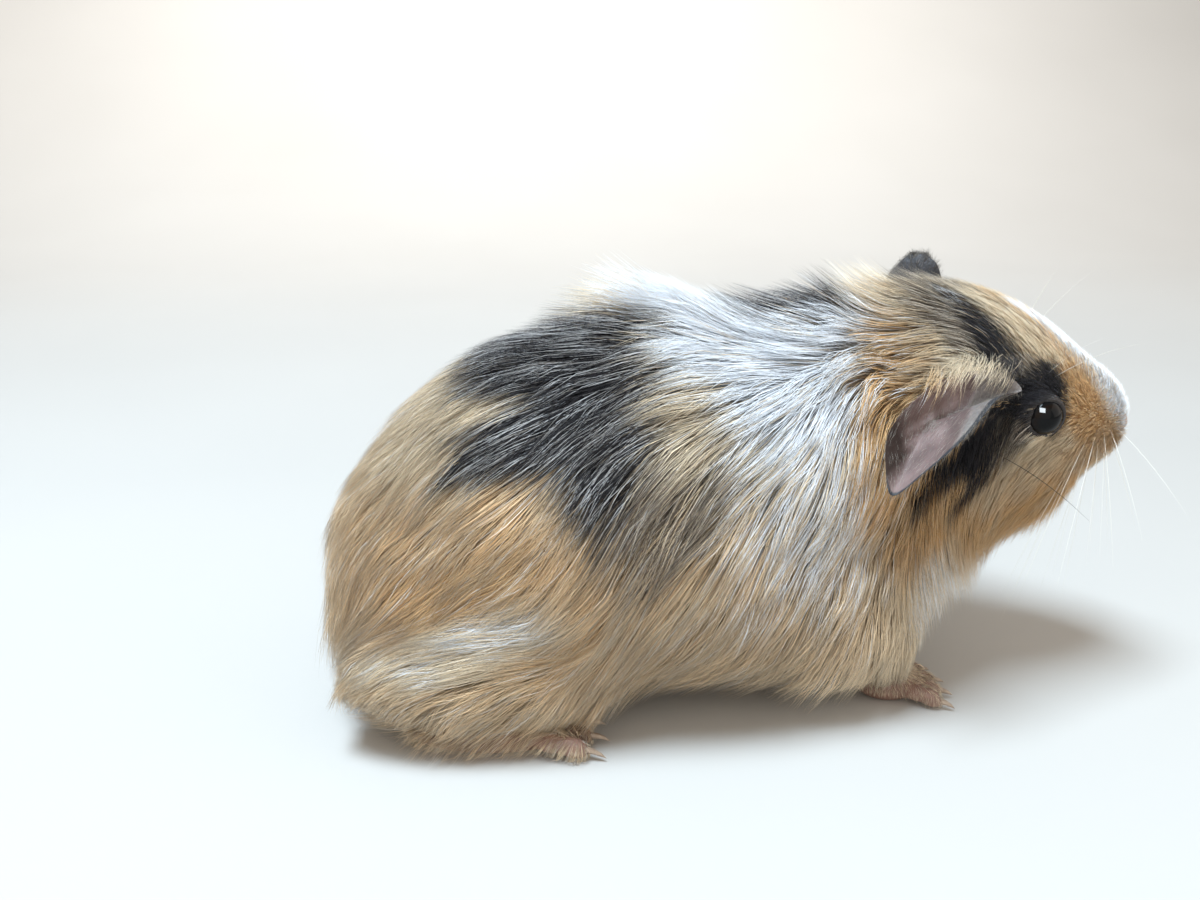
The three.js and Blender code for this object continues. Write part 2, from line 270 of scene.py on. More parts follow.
# ---------------------------------------------------------------- lie of the coat
# Strokes of the comb: place, way the hair points, hair length, how far its tip stands out.
# The first table is in the animal's frame, the second in the head's. Each is worked on both sides.
BODY_LIE = [
    (10, 0, 118, -1, 0, 0.15, 28, 3), (33, 0, 118, -1, 0, 0, 24, 2.5),
    (-3, 0, 119, -0.95, 0, 0.35, 26, 10), (-12, 0, 121, -0.9, 0, 0.5, 21, 12),
    (-22, 0, 120, -0.95, 0, 0.1, 20, 3), (-33, 0, 116, -1, 0, -0.15, 28, 0),
    (-50, 0, 113, -0.95, 0, -0.3, 32, 0), (-77, 0, 101, -0.8, 0, -0.6, 32, 0),
    (-93, 0, 84, -0.5, 0, -0.85, 32, 0), (-105, 0, 60, -0.2, 0, -1, 32, 0),
    (-108, 0, 40, -0.1, 0, -1, 34, 13), (-106, -14, 36, -0.1, 0, -1, 34, 13),
    (45, 0, 121, -0.9, 0, 0.2, 22, 3), (56, -2, 122, -0.88, -0.1, 0.4, 18, 10),
    (40, -12, 117, -0.9, -0.15, 0.1, 22, 2),
    (7, -25, 112, -1, -0.1, -0.08, 30, 0), (-8, -38, 98, -0.92, -0.1, -0.38, 32, 0),
    (7, -42, 86, -0.82, 0, -0.57, 34, 0), (-16, -43, 84, -0.7, 0, -0.7, 34, 0),
    (-6, -46, 69, -0.68, 0, -0.73, 36, 0), (17, -45, 67, -0.65, 0, -0.75, 34, 0),
    (7, -47, 47, -0.47, 0, -0.88, 38, 0), (31, -42, 50, -0.5, 0, -0.87, 38, 0),
    (28, -36, 97, -0.65, -0.1, -0.75, 22, 1), (38, -20, 112, -0.9, -0.2, -0.35, 22, 2),
    (35, -39, 85, -0.4, 0, -0.92, 22, 0), (33, -40, 65, -0.6, 0, -0.8, 28, 0),
    (48, -36, 58, -0.65, 0, -0.75, 22, 0), (61, -27, 36, -0.35, 0, -0.93, 20, 1),
    (66, 0, 40, -0.3, 0, -0.95, 20, 1),
    (-35, -14, 114, -1, -0.1, -0.15, 30, 0), (-25, -30, 105, -0.85, -0.1, -0.5, 32, 0),
    (-47, -35, 93, -0.8, -0.1, -0.6, 34, 0), (-60, -28, 97, -0.87, -0.1, -0.5, 34, 0),
    (-77, -8, 101, -0.85, -0.1, -0.5, 32, 0),
    (-37, -44, 78, -0.52, 0, -0.86, 36, 0), (-30, -46, 64, -0.42, 0, -0.9, 36, 0),
    (-60, -42, 70, -0.78, 0, -0.62, 36, 0), (-78, -36, 76, -0.67, 0, -0.74, 34, 0),
    (-95, -24, 70, -0.42, 0, -0.9, 32, 0), (-103, -20, 50, -0.25, 0, -0.97, 30, 5),
    (-77, -42, 55, -0.64, 0, -0.77, 34, 0), (-56, -46, 56, -0.78, 0, -0.62, 34, 0),
    (-38, -47, 50, -0.67, 0, -0.74, 34, 0), (-22, -47, 42, -0.6, 0, -0.8, 32, 0),
    (-68, -47, 40, -1, 0, -0.1, 26, 1), (-52, -47, 32, -1, 0, -0.02, 26, 0),
    (-80, -44, 28, -0.96, 0, -0.15, 24, 1), (-36, -42, 25, -0.7, 0, -0.7, 28, 2),
    (-95, -38, 30, -0.85, 0, -0.5, 26, 5), (-60, -44, 14, -0.7, 0, -0.7, 24, 5),
    (-80, -43, 14, -0.6, 0, -0.8, 26, 9), (-92, -36, 14, -0.5, 0, -0.85, 26, 9),
    (-108, 0, 30, -0.15, 0, -1, 30, 12), (-44, -40, 14, -0.4, 0, -0.9, 20, 5),
    (-24, -38, 19, -0.65, 0, -0.75, 32, 9), (-5, -36, 22, -0.6, 0, -0.8, 30, 8),
    (20, -37, 24, -0.45, 0, -0.9, 28, 6), (36, -37, 26, -0.35, 0, -0.93, 26, 7),
    (48, -32, 30, -0.3, 0, -0.95, 24, 3),
    (0, 0, 16, -1, 0, -0.1, 12, 0), (-40, 0, 14, -1, 0, -0.1, 12, 0),
    (48, -28, 20, -0.3, 0, -0.95, 12, 0), (50, -24, 8, 0.1, 0, -1, 6, 0),
]
HEAD_LIE = [
    (66, 0, -4, -0.6, 0, 0.5, 2.4, 1.5), (60, 0, 4, -1, 0, 0.3, 3.4, 1.5),
    (50, 0, 10, -1, 0, 0.3, 4, 0.5), (40, 0, 15, -1, 0, 0.3, 6, 0),
    (28, 0, 20, -1, 0, 0.2, 9, 0), (14, 0, 23, -1, 0, 0.1, 12, 0),
    (-1, 0, 24, -1, 0, 0.3, 18, 10), (6, 0, 24, -1, 0, 0.2, 15, 4),
    (56, -8, 0, -1, -0.3, 0.1, 3, 0), (50, -13, -3, -1, -0.2, -0.1, 4.5, 0),
    (44, -17, 5, -1, -0.2, 0.2, 5, 0), (36, -14, 12, -1, -0.2, 0.45, 5.5, 0),
    (26, -18, 14, -0.9, -0.1, 0.4, 8, 0), (16, -18, 18, -0.95, -0.1, 0.3, 11, 0),
    (4, -14, 22, -0.95, -0.2, 0.05, 15, 1), (-2, -22, 16, -0.8, -0.3, -0.45, 14, 0),
    (9, -24, 13, -0.85, -0.2, -0.1, 9, 0), (24, -24, 6, -0.9, -0.1, 0, 5, 0),
    (44, -20, -6, -0.95, -0.2, -0.3, 6, 0), (37, -24, -10, -0.85, -0.1, -0.5, 7, 0),
    (26, -28, -7, -0.6, -0.1, -0.75, 8, 0), (20, -32, -12, -0.55, 0, -0.83, 10, 0),
    (38, -24, -18, -0.75, 0, -0.65, 9, 0), (26, -30, -22, -0.6, 0, -0.8, 12, 0),
    (12, -38, -20, -0.6, 0, -0.8, 14, 0), (0, -46, -26, -0.65, 0, -0.75, 18, 0),
    (35, -24, -30, -0.75, 0, -0.62, 11, 2), (30, -25, -41, -0.8, 0, -0.55, 14, 5),
    (54, -6, -16, -0.9, 0, -0.4, 4, 1), (48, -4, -28, -0.9, 0, -0.4, 9, 5),
    (36, 0, -46, -0.95, 0, -0.3, 14, 7), (14, 0, -56, -0.8, 0, -0.6, 18, 4),
]


def both_sides(rows, place=None):
    """Strokes as arrays with their mirror images, carried into the animal's frame."""
    rows = np.array(rows, float)
    other = rows[np.abs(rows[:, 1]) > 0] * [1, -1, 1, 1, -1, 1, 1, 1]
    rows = np.concatenate([rows, other])
    if place is not None:
        rows[:, :3] = from_head(rows[:, :3])
        rows[:, 3:6] = rows[:, 3:6] @ HEAD_TURN.T
    return rows


LIE = np.concatenate([both_sides(BODY_LIE), both_sides(HEAD_LIE, "head")]).astype(np.float32)
LIE[:, 3:6] /= np.linalg.norm(LIE[:, 3:6], axis=1, keepdims=True)


def lie_at(p):
    """Way, length and stand of the coat: each stroke counts as one over distance to the fifth."""
    found = np.empty((len(p), 5), np.float32)
    for a in range(0, len(p), 20000):
        q = p[a:a + 20000].astype(np.float32)
        gap = (q * q).sum(1)[:, None] + (LIE[:, :3] ** 2).sum(1) - 2 * q @ LIE[:, :3].T
        w = (np.maximum(gap, 0) + 20.0) ** -2.5
        found[a:a + 20000] = (w @ LIE[:, 3:]) / w.sum(1, keepdims=True)
    return found


WAVES = np.random.default_rng(11).normal(size=(6, 12, 5)).astype(np.float32)


def ripple(p, size, kind=0):
    """Smooth noise between about -1 and 1: twelve sine waves of mixed directions."""
    w = WAVES[kind]
    return np.sin(p.astype(np.float32) @ w[:, :3].T * (2.2 / size) + 3 * w[:, 3]).mean(1) * 2.2


# ---------------------------------------------------------------- markings
# Patches painted in this order: pelt, centre, radii, dip, softness of the edge, strength. What
# none of them covers is cream. The first table is in the animal's frame, the second in the head's.
BLACK, GOLD, WHITE, TICKED, CREAM = range(5)
BODY_MARKS = [
    (GOLD, (-78, 0, 50), (46, 60, 42), 0, 0.9, 0.5),
    (GOLD, (-30, -40, 40), (70, 30, 34), 0, 0.9, 0.45),
    (GOLD, (-40, 40, 44), (60, 30, 36), 0, 0.9, 0.75),
    (WHITE, (-8, 46, 46), (34, 20, 24), 20, 0.9, 0.6),
    (CREAM, (-78, 40, 34), (26, 20, 20), 0, 0.9, 0.9),
    (WHITE, (8, -12, 106), (35, 60, 27), 8, 0.35, 1.0),
    (WHITE, (18, -42, 76), (26, 24, 34), 0, 0.9, 0.62),
    (WHITE, (4, 30, 84), (24, 40, 44), 0, 0.3, 0.9),
    (CREAM, (-19, -40, 91), (13, 12, 13), 40, 0.8, 0.8),
    (TICKED, (-22, -46, 72), (15, 14, 24), 30, 0.9, 0.45),
    (BLACK, (-52, -20, 98), (29, 42, 24), 0, 0.3, 1.0),
    (BLACK, (-40, -42, 86), (14, 13, 15), 0, 0.4, 0.95),
    (BLACK, (-52, 24, 92), (26, 34, 26), 0, 0.3, 0.95),
    (BLACK, (-35, -45, 72), (8, 12, 12), 20, 0.9, 0.6),
    (CREAM, (-88, -18, 90), (14, 22, 14), -20, 0.6, 0.9),
    (BLACK, (18, 5, 119.5), (25, 15, 10), 0, 0.2, 1.0),
    (GOLD, (41, -30, 94), (13, 24, 30), 0, 0.6, 0.75),
    (GOLD, (38, -41, 70), (10, 14, 14), 0, 0.9, 0.6),
    (GOLD, (40, 30, 90), (18, 26, 34), 0, 0.5, 0.85),
    (GOLD, (52, -37, 60), (16, 14, 16), 0, 0.7, 0.95),
    (WHITE, (58, -12, 36), (12, 22, 14), 0, 0.8, 0.8),
    (CREAM, (48, -2, 122), (14, 13, 8), 0, 0.4, 1.0),
]
HEAD_MARKS = [
    (GOLD, (30, 0, 4), (36, 26, 22), 20, 0.35, 0.65),
    (GOLD, (38, 0, -30), (26, 30, 18), -24, 0.8, 0.85),
    (GOLD, (8, -40, -20), (15, 14, 26), 25, 0.6, 0.9),
    (GOLD, (28, -26, -34), (22, 14, 14), -24, 0.8, 0.85),
    (TICKED, (2, -8, 21), (14, 15, 9), 0, 0.7, 0.45),
    (TICKED, (2, 10, 21), (14, 13, 8), 0, 0.7, 0.6),
    (CREAM, (9, -24, 16), (9, 8, 6), 0, 0.7, 0.8),
]
# Stripes: pelt, softness, strength, and points with their radii; the first table in the animal's
# frame, the second in the head's.
BODY_STRIPES = [
    (BLACK, 0.5, 1.0, [(-44, -12, 112, 8), (-32, -14, 115, 6), (-21, -16, 116, 4)]),
    (BLACK, 0.5, 0.95, [(-54, -38, 86, 8), (-66, -36, 83, 7), (-78, -34, 79, 3)]),
    (BLACK, 0.6, 0.9, [(-40, -44, 82, 8), (-39, -46, 70, 5), (-40, -47, 61, 2.5)]),
    (TICKED, 0.9, 0.6, [(-22, -45, 80, 7), (-28, -46, 70, 7), (-36, -47, 58, 5)]),
    (TICKED, 0.9, 0.6, [(-8, -46, 78, 4), (-16, -47, 66, 5), (-26, -47, 53, 4)]),
    (CREAM, 0.6, 0.95, [(-98, -14, 80, 6), (-82, -21, 90, 5.5), (-72, -24, 94, 4),
                        (-64, -28, 95, 2)]),
    (CREAM, 0.8, 0.7, [(-24, -38, 95, 4), (-21, -41, 89, 5), (-16, -44, 80, 5)]),
    (WHITE, 0.5, 1.0, [(-9, -4, 119, 9), (-16, -4, 121, 12), (-25, -4, 120, 9),
                       (-31, -4, 119, 5)]),
    (CREAM, 0.9, 0.9, [(-50, -48, 41, 5), (-64, -48, 41, 8), (-80, -46, 38, 7)]),
    (WHITE, 0.9, 0.6, [(-54, -48, 42, 3), (-64, -48, 41, 5), (-76, -46, 40, 4)]),
    (CREAM, 0.9, 0.9, [(-70, -47, 31, 4), (-86, -44, 30, 7), (-98, -38, 27, 5)]),
    (WHITE, 0.9, 0.35, [(-84, -44, 30, 4), (-94, -38, 28, 3)]),
    (GOLD, 0.9, 0.6, [(-60, -46, 60, 7), (-74, -43, 52, 8), (-90, -36, 46, 6)]),
]
HEAD_STRIPES = [
    (GOLD, 0.5, 0.95, [(36, -14, 12, 4), (44, -17, 7, 7), (50, -17, 0, 7)]),
    (CREAM, 0.6, 0.85, [(8, -5, 25, 5), (20, -10, 23, 6), (29, -12, 19, 5), (35, -13, 15, 3)]),
    (CREAM, 0.6, 0.9, [(27, -29, -7, 2.2), (34, -26.5, -8, 3.4), (42, -22, -6, 3)]),
    (CREAM, 0.8, 0.5, [(38, -25, -14, 6), (28, -30, -26, 6)]),
    (GOLD, 0.8, 0.7, [(51, -14, -24, 6), (40, -20, -36, 7), (26, -20, -46, 8)]),
    (TICKED, 0.7, 0.9, [(-8, 2, 23, 5), (-4, -7, 23, 4.5), (1, -15, 21, 4), (6, -20, 18, 3.4)]),
    (TICKED, 0.7, 0.8, [(-9, -7, 22, 3), (-3, -15, 21, 3), (4, -21, 17, 3)]),
    (BLACK, 0.6, 0.95, [(-2, -3, 25, 3), (3, -8, 24.5, 4), (8, -13, 22.5, 5),
                        (13, -17, 19, 6.2), (17.5, -20, 15.5, 6.8), (22, -22, 12, 6.6),
                        (25, -24, 8, 5)]),
    (TICKED, 0.6, 0.85, [(26, -20, 13, 5), (31, -19, 11, 5)]),
    (BLACK, 0.5, 0.95, [(30, -17, 14, 2.4), (34, -17, 12.5, 3.2), (36.5, -18, 10, 3.4),
                        (36, -20, 7, 3.4)]),
    (BLACK, 0.5, 0.9, [(27, -22, 10, 4.2), (32, -20, 9.5, 4.2), (35, -20, 8, 3.4)]),
    (BLACK, 0.35, 1.0, [(24, -25, 8, 4), (29, -24, 7, 4.4), (34, -22, 6, 4.4),
                        (38, -21.5, 1.5, 2.8), (37, -24, -3, 2)]),
    (BLACK, 0.35, 1.0, [(25, -27, 5, 4.4), (26, -28, -3, 4.4), (26, -28.5, -8, 3.6),
                        (24, -31, -13, 3.8), (20.5, -34, -21, 3.4), (16, -37, -30, 1.8)]),
    (BLACK, 0.35, 1.0, [(19.5, -30, 3, 3.4), (18, -32, -1, 4.6), (15.5, -35, -5.5, 5.4),
                        (14, -36.5, -10, 5.6), (12, -38, -15, 5), (9.5, -41, -20, 4),
                        (7, -45, -28, 2)]),
    (BLACK, 0.4, 1.0, [(22, -30, -3, 4), (20, -32, -10, 4.6), (17.5, -35, -16, 3)]),
    (TICKED, 0.9, 0.7, [(27.5, -28, -1, 2), (27, -29, -8, 2.6), (25.5, -30, -14, 2)]),
    (GOLD, 0.4, 0.95, [(21, -27, 7, 1.4), (17, -31, 3, 2.0), (13.5, -34, -1, 2.4),
                       (10, -37, -6, 2.8), (5, -42, -11.5, 3), (-1, -46, -16, 2.6)]),
    (WHITE, 0.4, 0.84, [(22, 1, 23, 3), (31, 1, 20.5, 4.6), (40, 0, 16, 5.6), (48, 0, 12, 5.2),
                        (54, -1, 7, 8), (58, -3, 2, 8.6), (60, -3, -2, 7)]),
    (BLACK, 0.4, 0.95, [(4, 12, 24, 2.2), (12, 15, 22, 3), (21, 20, 16, 3.8), (26, 23, 10, 4.2),
                        (33, 22, 6, 4.4), (38, 21.5, 1, 2.6)]),
    (BLACK, 0.35, 1.0, [(27, 25, 3, 5), (23, 27, -6, 6), (18, 29, -14, 6), (13, 30, -22, 3.6)]),
    (GOLD, 0.8, 0.8, [(14, 27, 2, 5), (8, 29, -10, 6), (4, 31, -20, 7)]),
    (CREAM, 0.8, 0.8, [(31, 24, -14, 5), (27, 26, -24, 7)]),
]


def settled(stripes, carry, back):
    """Stripes with their points carried outwards or inwards to the coat's surface."""
    found = []
    for pelt, soft, strength, line in stripes:
        line = np.array(line, float)
        p = carry(line[:, :3])
        for _ in range(3):
            p = p - outward(coat_surface, p) * coat_surface(p)[:, None]
        line[:, :3] = back(p)
        found.append((pelt, soft, strength, line))
    return found


BODY_STRIPES = settled(BODY_STRIPES, np.array, np.array)
HEAD_STRIPES = settled(HEAD_STRIPES, from_head, to_head)


def stripe_cover(q, line):
    """One minus the least distance to the stripe's line over the radius there."""
    cover = np.full(len(q), -1.0)
    for a, b in zip(line[:-1], line[1:]):
        d = b[:3] - a[:3]
        t = np.clip((q - a[:3]) @ d / (d @ d), 0, 1)
        gap = np.linalg.norm(q - a[:3] - t[:, None] * d, axis=1)
        cover = np.maximum(cover, 1 - gap / (a[3] + t * (b[3] - a[3])))
    return cover


def paint(share, pelt, inside, soft, strength):
    """Cover what was there by the strength times a ramp from the patch's edge inwards."""
    cover = (strength * np.clip(inside / soft + 0.5, 0, 1)).astype(np.float32)[:, None]
    share *= 1 - cover
    share[:, pelt:pelt + 1] += cover


def markings(p):
    """Share of each pelt at points: every patch in turn covers what was there by its strength
    times a ramp of one minus the point's length over the patch's radii. The points are first
    carried along the outward line to the coat's surface."""
    share = np.zeros((len(p), 5), np.float32)
    share[:, CREAM] = 1
    p = p - outward(coat_surface, p) * coat_surface(p)[:, None]
    wander = np.stack([ripple(p, 9, k) for k in range(3)], 1) * 2.2
    places = ((BODY_MARKS, p + wander), (HEAD_MARKS, to_head(p + 0.35 * wander)))
    for marks, q in places:
        for pelt, centre, radii, dip, soft, strength in marks:
            r = dipped(q - np.array(centre, float), dip)
            inside = 1 - np.linalg.norm(r / np.array(radii, float), axis=1)
            paint(share, pelt, inside, soft, strength)
    q = to_head(p + 0.25 * wander)
    front = (q[:, 0] > -18) & (q[:, 2] > -62)
    for stripes, near, r in ((BODY_STRIPES, np.flatnonzero(p[:, 0] < 20), p + 0.7 * wander),
                             (HEAD_STRIPES, np.flatnonzero(front), q)):
        found = share[near]
        for pelt, soft, strength, line in stripes:
            paint(found, pelt, stripe_cover(r[near], line), soft, strength)
        share[near] = found
    return share


# ---------------------------------------------------------------- meshes
def mesh_from(name, points, faces, smooth=True):
    """A mesh object from points in the animal's frame and rows of corner numbers, -1 unused."""
    mesh = bpy.data.meshes.new(name)
    faces = np.asarray(faces)
    used = faces >= 0
    count = used.sum(1)
    mesh.vertices.add(len(points))
    mesh.vertices.foreach_set("co", to_metres(points).astype(np.float32).ravel())
    mesh.loops.add(int(count.sum()))
    mesh.loops.foreach_set("vertex_index", faces[used].astype(np.int32))
    mesh.polygons.add(len(faces))
    starts = np.concatenate([[0], np.cumsum(count)[:-1]])
    mesh.polygons.foreach_set("loop_start", starts.astype(np.int32))
    mesh.polygons.foreach_set("use_smooth", np.full(len(faces), smooth))
    mesh.update(calc_edges=True)
    mesh.validate()
    piece = bpy.data.objects.new(name, mesh)
    bpy.context.scene.collection.objects.link(piece)
    return piece


def add_values(piece, name, values):
    """A colour attribute of four numbers at each vertex."""
    attribute = piece.data.attributes.new(name, "FLOAT_COLOR", "POINT")
    attribute.data.foreach_set("color", np.asarray(values, np.float32).ravel())


def add_patches(piece, uv):
    """The unwrap that each vertex's finish is stored on, given at the vertices."""
    layer = piece.data.uv_layers.new(name="OFBake")
    corner = np.zeros(len(piece.data.loops), np.int32)
    piece.data.loops.foreach_get("vertex_index", corner)
    layer.data.foreach_set("uv", np.asarray(uv, np.float32)[corner].ravel())


def grid_faces(rows, columns, closed=True):
    """Quads between rows of points, going round to the first column where it is closed."""
    a = np.arange(rows - 1)[:, None] * columns
    b = np.arange(columns if closed else columns - 1)[None]
    n = (b + 1) % columns
    return np.stack([a + b, a + n, a + columns + n, a + columns + b], -1).reshape(-1, 4)


def with_poles(rows, columns, flip):
    """Quads round rows of points whose first and last rows are each one point: there they become
    triangles. Gives the numbers of the points used, and the faces between those."""
    keep = np.arange(rows * columns)
    keep[:columns], keep[-columns:] = 0, len(keep) - 1
    faces = keep[grid_faces(rows, columns)]
    faces = faces[:, ::-1] if flip else faces
    same = faces == np.roll(faces, -1, axis=1)
    closed = same.any(1)
    order = (same[closed].argmax(1)[:, None] + 1 + np.arange(3)) % 4
    clean = faces.copy()
    clean[closed] = -1
    clean[closed, :3] = np.take_along_axis(faces[closed], order, 1)
    used = np.unique(clean[clean >= 0])
    renumber = np.full(len(keep), -1)
    renumber[used] = np.arange(len(used))
    return used, np.where(clean >= 0, renumber[clean], -1)


def finish(piece, material, slot, *nodes):
    piece.data.materials.append(material)
    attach(piece, "root")
    if nodes:
        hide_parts(*nodes)
    return piece


# ---------------------------------------------------------------- materials
def new_material(name):
    material = bpy.data.materials.new(name)
    material.use_nodes = True
    tree = material.node_tree
    return material, tree, tree.nodes["Principled BSDF"]


def put(tree, kind, **sockets):
    """A node with its inputs set or linked: a value is set, an output socket is linked."""
    node = tree.nodes.new(kind)
    for key, value in sockets.items():
        if key.startswith("at_"):
            setattr(node, key[3:], value)
            continue
        socket = node.inputs[int(key[1:])] if key[1:].isdigit() else node.inputs[key]
        if isinstance(value, bpy.types.NodeSocket):
            tree.links.new(value, socket)
        else:
            socket.default_value = value
    return node


def mixed(tree, share, a, b):
    """Colour a turned into colour b by share."""
    node = put(tree, "ShaderNodeMix", at_data_type="RGBA")
    for socket, value in zip((node.inputs[0], node.inputs[6], node.inputs[7]), (share, a, b)):
        if isinstance(value, bpy.types.NodeSocket):
            tree.links.new(value, socket)
        else:
            socket.default_value = (*value, 1) if isinstance(value, tuple) else value
    return node.outputs[2]


def sums(tree, operation, a, b):
    return put(tree, "ShaderNodeMath", at_operation=operation, _0=a, _1=b).outputs[0]


def parts_of(tree, name):
    """The four numbers that an attribute holds at each point."""
    read = put(tree, "ShaderNodeAttribute", at_attribute_name=name)
    parts = put(tree, "ShaderNodeSeparateColor", Color=read.outputs["Color"])
    return (*parts.outputs, read.outputs["Alpha"])


def object_place(tree):
    return put(tree, "ShaderNodeTexCoord").outputs["Object"]


def noise(tree, place, scale, detail):
    return put(tree, "ShaderNodeTexNoise", Vector=place, Scale=scale, Detail=detail).outputs["Fac"]


def pebbles(tree, place, scale):
    return put(tree, "ShaderNodeTexVoronoi", Vector=place, Scale=scale).outputs["Distance"]


def ranged(tree, value, low, high, end=1.0):
    """A value from 0 to end carried to the range from low to high."""
    return put(tree, "ShaderNodeMapRange", _0=value, _1=0.0, _2=end, _3=low, _4=high).outputs[0]


def bumped(tree, shader, height, strength, distance):
    bump = put(tree, "ShaderNodeBump", Height=height, Strength=strength, Distance=distance)
    tree.links.new(bump.outputs[0], shader.inputs["Normal"])


def dress(tree, shader, colour, **sockets):
    """Link the colour and set the shader's sockets: an underscore stands for a space."""
    tree.links.new(colour, shader.inputs["Base Color"])
    for key, value in sockets.items():
        shader.inputs[key.replace("_", " ")].default_value = value


PELTS = {
    "black": (0.018, 0.016, 0.020),
    "gold": (0.69, 0.435, 0.21),
    "white": (0.90, 0.93, 0.98),
    "ticked": (0.19, 0.145, 0.11),
    "cream": (0.84, 0.70, 0.51),
}


def pelt_colour(tree):
    """The pelts' colours mixed by the shares that the markings hold."""
    black, gold, white, ticked = parts_of(tree, "markings")
    colour = mixed(tree, gold, PELTS["cream"], PELTS["gold"])
    colour = mixed(tree, white, colour, PELTS["white"])
    colour = mixed(tree, ticked, colour, PELTS["ticked"])
    return mixed(tree, black, colour, PELTS["black"])


def coat_material():
    """Hair: the pelt's colour, with painted shade darker towards the root, painted light and shade
    from lock to lock, and from hair to hair a lighter or deeper factor that is partly the hair's
    own tone and partly painted light and shade."""
    material, tree, shader = new_material("coat hair")
    each, along, lock, _ = parts_of(tree, "hair")
    # Each hair's factor is partly its own tone and partly painted light and shade; the lock's
    # factor is painted light and shade, lighter or deeper from lock to lock.
    level = sums(tree, "MULTIPLY", ranged(tree, each, 0.70, 1.22), ranged(tree, lock, 0.76, 1.16))
    # Painted shade: each hair darker over the half of its length next to the root.
    level = sums(tree, "MULTIPLY", level, ranged(tree, along, 0.66, 1.0, end=0.5))
    scaled = put(tree, "ShaderNodeVectorMath", at_operation="SCALE", _0=pelt_colour(tree),
                 _3=level)
    dress(tree, shader, scaled.outputs[0], Roughness=0.46, Specular_IOR_Level=0.30,
          Sheen_Weight=0.08, Sheen_Roughness=0.4)
    return material


def skin_material():
    """Under the hair the pelt's own colour, with fine streaks; on the soles and toes, bare skin;
    nearly black on the lids."""
    material, tree, shader = new_material("skin")
    place = object_place(tree)
    dull = mixed(tree, noise(tree, place, 900.0, 3.0), (0.55, 0.50, 0.46), (0.90, 0.87, 0.82))
    covered = put(tree, "ShaderNodeVectorMath", at_operation="MULTIPLY", _0=pelt_colour(tree),
                  _1=dull)
    bare, lids, _, _ = parts_of(tree, "bareness")
    flesh = mixed(tree, noise(tree, place, 330.0, 5.0), (0.13, 0.066, 0.05), (0.34, 0.20, 0.155))
    colour = mixed(tree, bare, covered.outputs[0], flesh)
    colour = mixed(tree, lids, colour, (0.014, 0.009, 0.008))
    bumped(tree, shader, pebbles(tree, place, 1500.0), 0.35, 0.0004)
    dress(tree, shader, colour, Roughness=0.55, Subsurface_Weight=0.08, Subsurface_Scale=0.004)
    return material


def ear_material():
    """Thin skin: mauve in the cup, darker towards the rear edge, with painted shade in the cup just
    behind the crease, grey and pale on the flap, with dark blue-grey at the free edge, veins and
    pores."""
    material, tree, shader = new_material("ear skin")
    place = object_place(tree)
    flap, rim, back, rear = parts_of(tree, "zones")
    mottle = noise(tree, place, 170.0, 6.0)
    colour = mixed(tree, mottle, (0.125, 0.085, 0.082), (0.33, 0.235, 0.222))
    # Near black towards the rear edge, and painted shade in the cup just behind the crease.
    colour = mixed(tree, rear, colour, (0.032, 0.019, 0.015))
    pale = mixed(tree, noise(tree, place, 900.0, 2.0), (0.11, 0.096, 0.092), (0.26, 0.225, 0.21))
    colour = mixed(tree, flap, colour, pale)
    grey = mixed(tree, mottle, (0.030, 0.031, 0.038), (0.085, 0.085, 0.095))
    colour = mixed(tree, back, colour, grey)
    colour = mixed(tree, rim, colour, (0.022, 0.024, 0.030))
    veins = sums(tree, "ADD", noise(tree, place, 1400.0, 3.0), noise(tree, place, 240.0, 3.0))
    bumped(tree, shader, veins, 0.4, 0.0007)
    dress(tree, shader, colour, Roughness=0.55, Specular_IOR_Level=0.35, Subsurface_Weight=0.04,
          Subsurface_Scale=0.001)
    return material


def eye_material():
    """Near black, with a deep brown ring just inside the dark edge, under a wet clear front."""
    material, tree, shader = new_material("eye")
    ring, _, _, _ = parts_of(tree, "zones")
    spokes = noise(tree, object_place(tree), 900.0, 2.0)
    brown = mixed(tree, spokes, (0.0008, 0.0006, 0.0005), (0.0032, 0.0016, 0.001))
    colour = mixed(tree, ring, (0.0011, 0.0011, 0.0012), brown)
    dress(tree, shader, colour, Roughness=0.06, Specular_IOR_Level=0.12)
    return material


def horn_material():
    """Claw horn: brown to pale, in a fine grain."""
    material, tree, shader = new_material("claw horn")
    grain = noise(tree, object_place(tree), 700.0, 3.0)
    bumped(tree, shader, grain, 0.2, 0.0003)
    dress(tree, shader, mixed(tree, grain, (0.20, 0.13, 0.09), (0.50, 0.40, 0.31)),
          Roughness=0.35)
    return material


def nose_material():
    """Soft pebbled skin, tan, and dark pink in the nostrils: their skin, with painted shade for the
    depth of the openings.
    """
    material, tree, shader = new_material("nose skin")
    place = object_place(tree)
    tan = mixed(tree, noise(tree, place, 420.0, 5.0), (0.27, 0.165, 0.125), (0.56, 0.40, 0.31))
    nostril, _, _, _ = parts_of(tree, "zones")
    bumped(tree, shader, pebbles(tree, place, 1900.0), 0.35, 0.0003)
    # Nostrils: their skin, and painted shade of the openings.
    dress(tree, shader, mixed(tree, nostril, tan, (0.10, 0.035, 0.03)), Roughness=0.45,
          Subsurface_Weight=0.1, Subsurface_Scale=0.002)
    return material


def whisker_material():
    """Pale hair, a little lighter or deeper from one to the next, or nearly black."""
    material, tree, shader = new_material("whisker")
    each, _, dark, _ = parts_of(tree, "hair")
    colour = mixed(tree, each, (0.75, 0.70, 0.62), (0.93, 0.90, 0.85))
    dress(tree, shader, mixed(tree, dark, colour, (0.03, 0.02, 0.015)), Roughness=0.3)
    return material


COAT, SKIN, EAR_SKIN, EYE_GLOSS = coat_material(), skin_material(), ear_material(), eye_material()
HORN, NOSE_SKIN, WHISKER = horn_material(), nose_material(), whisker_material()


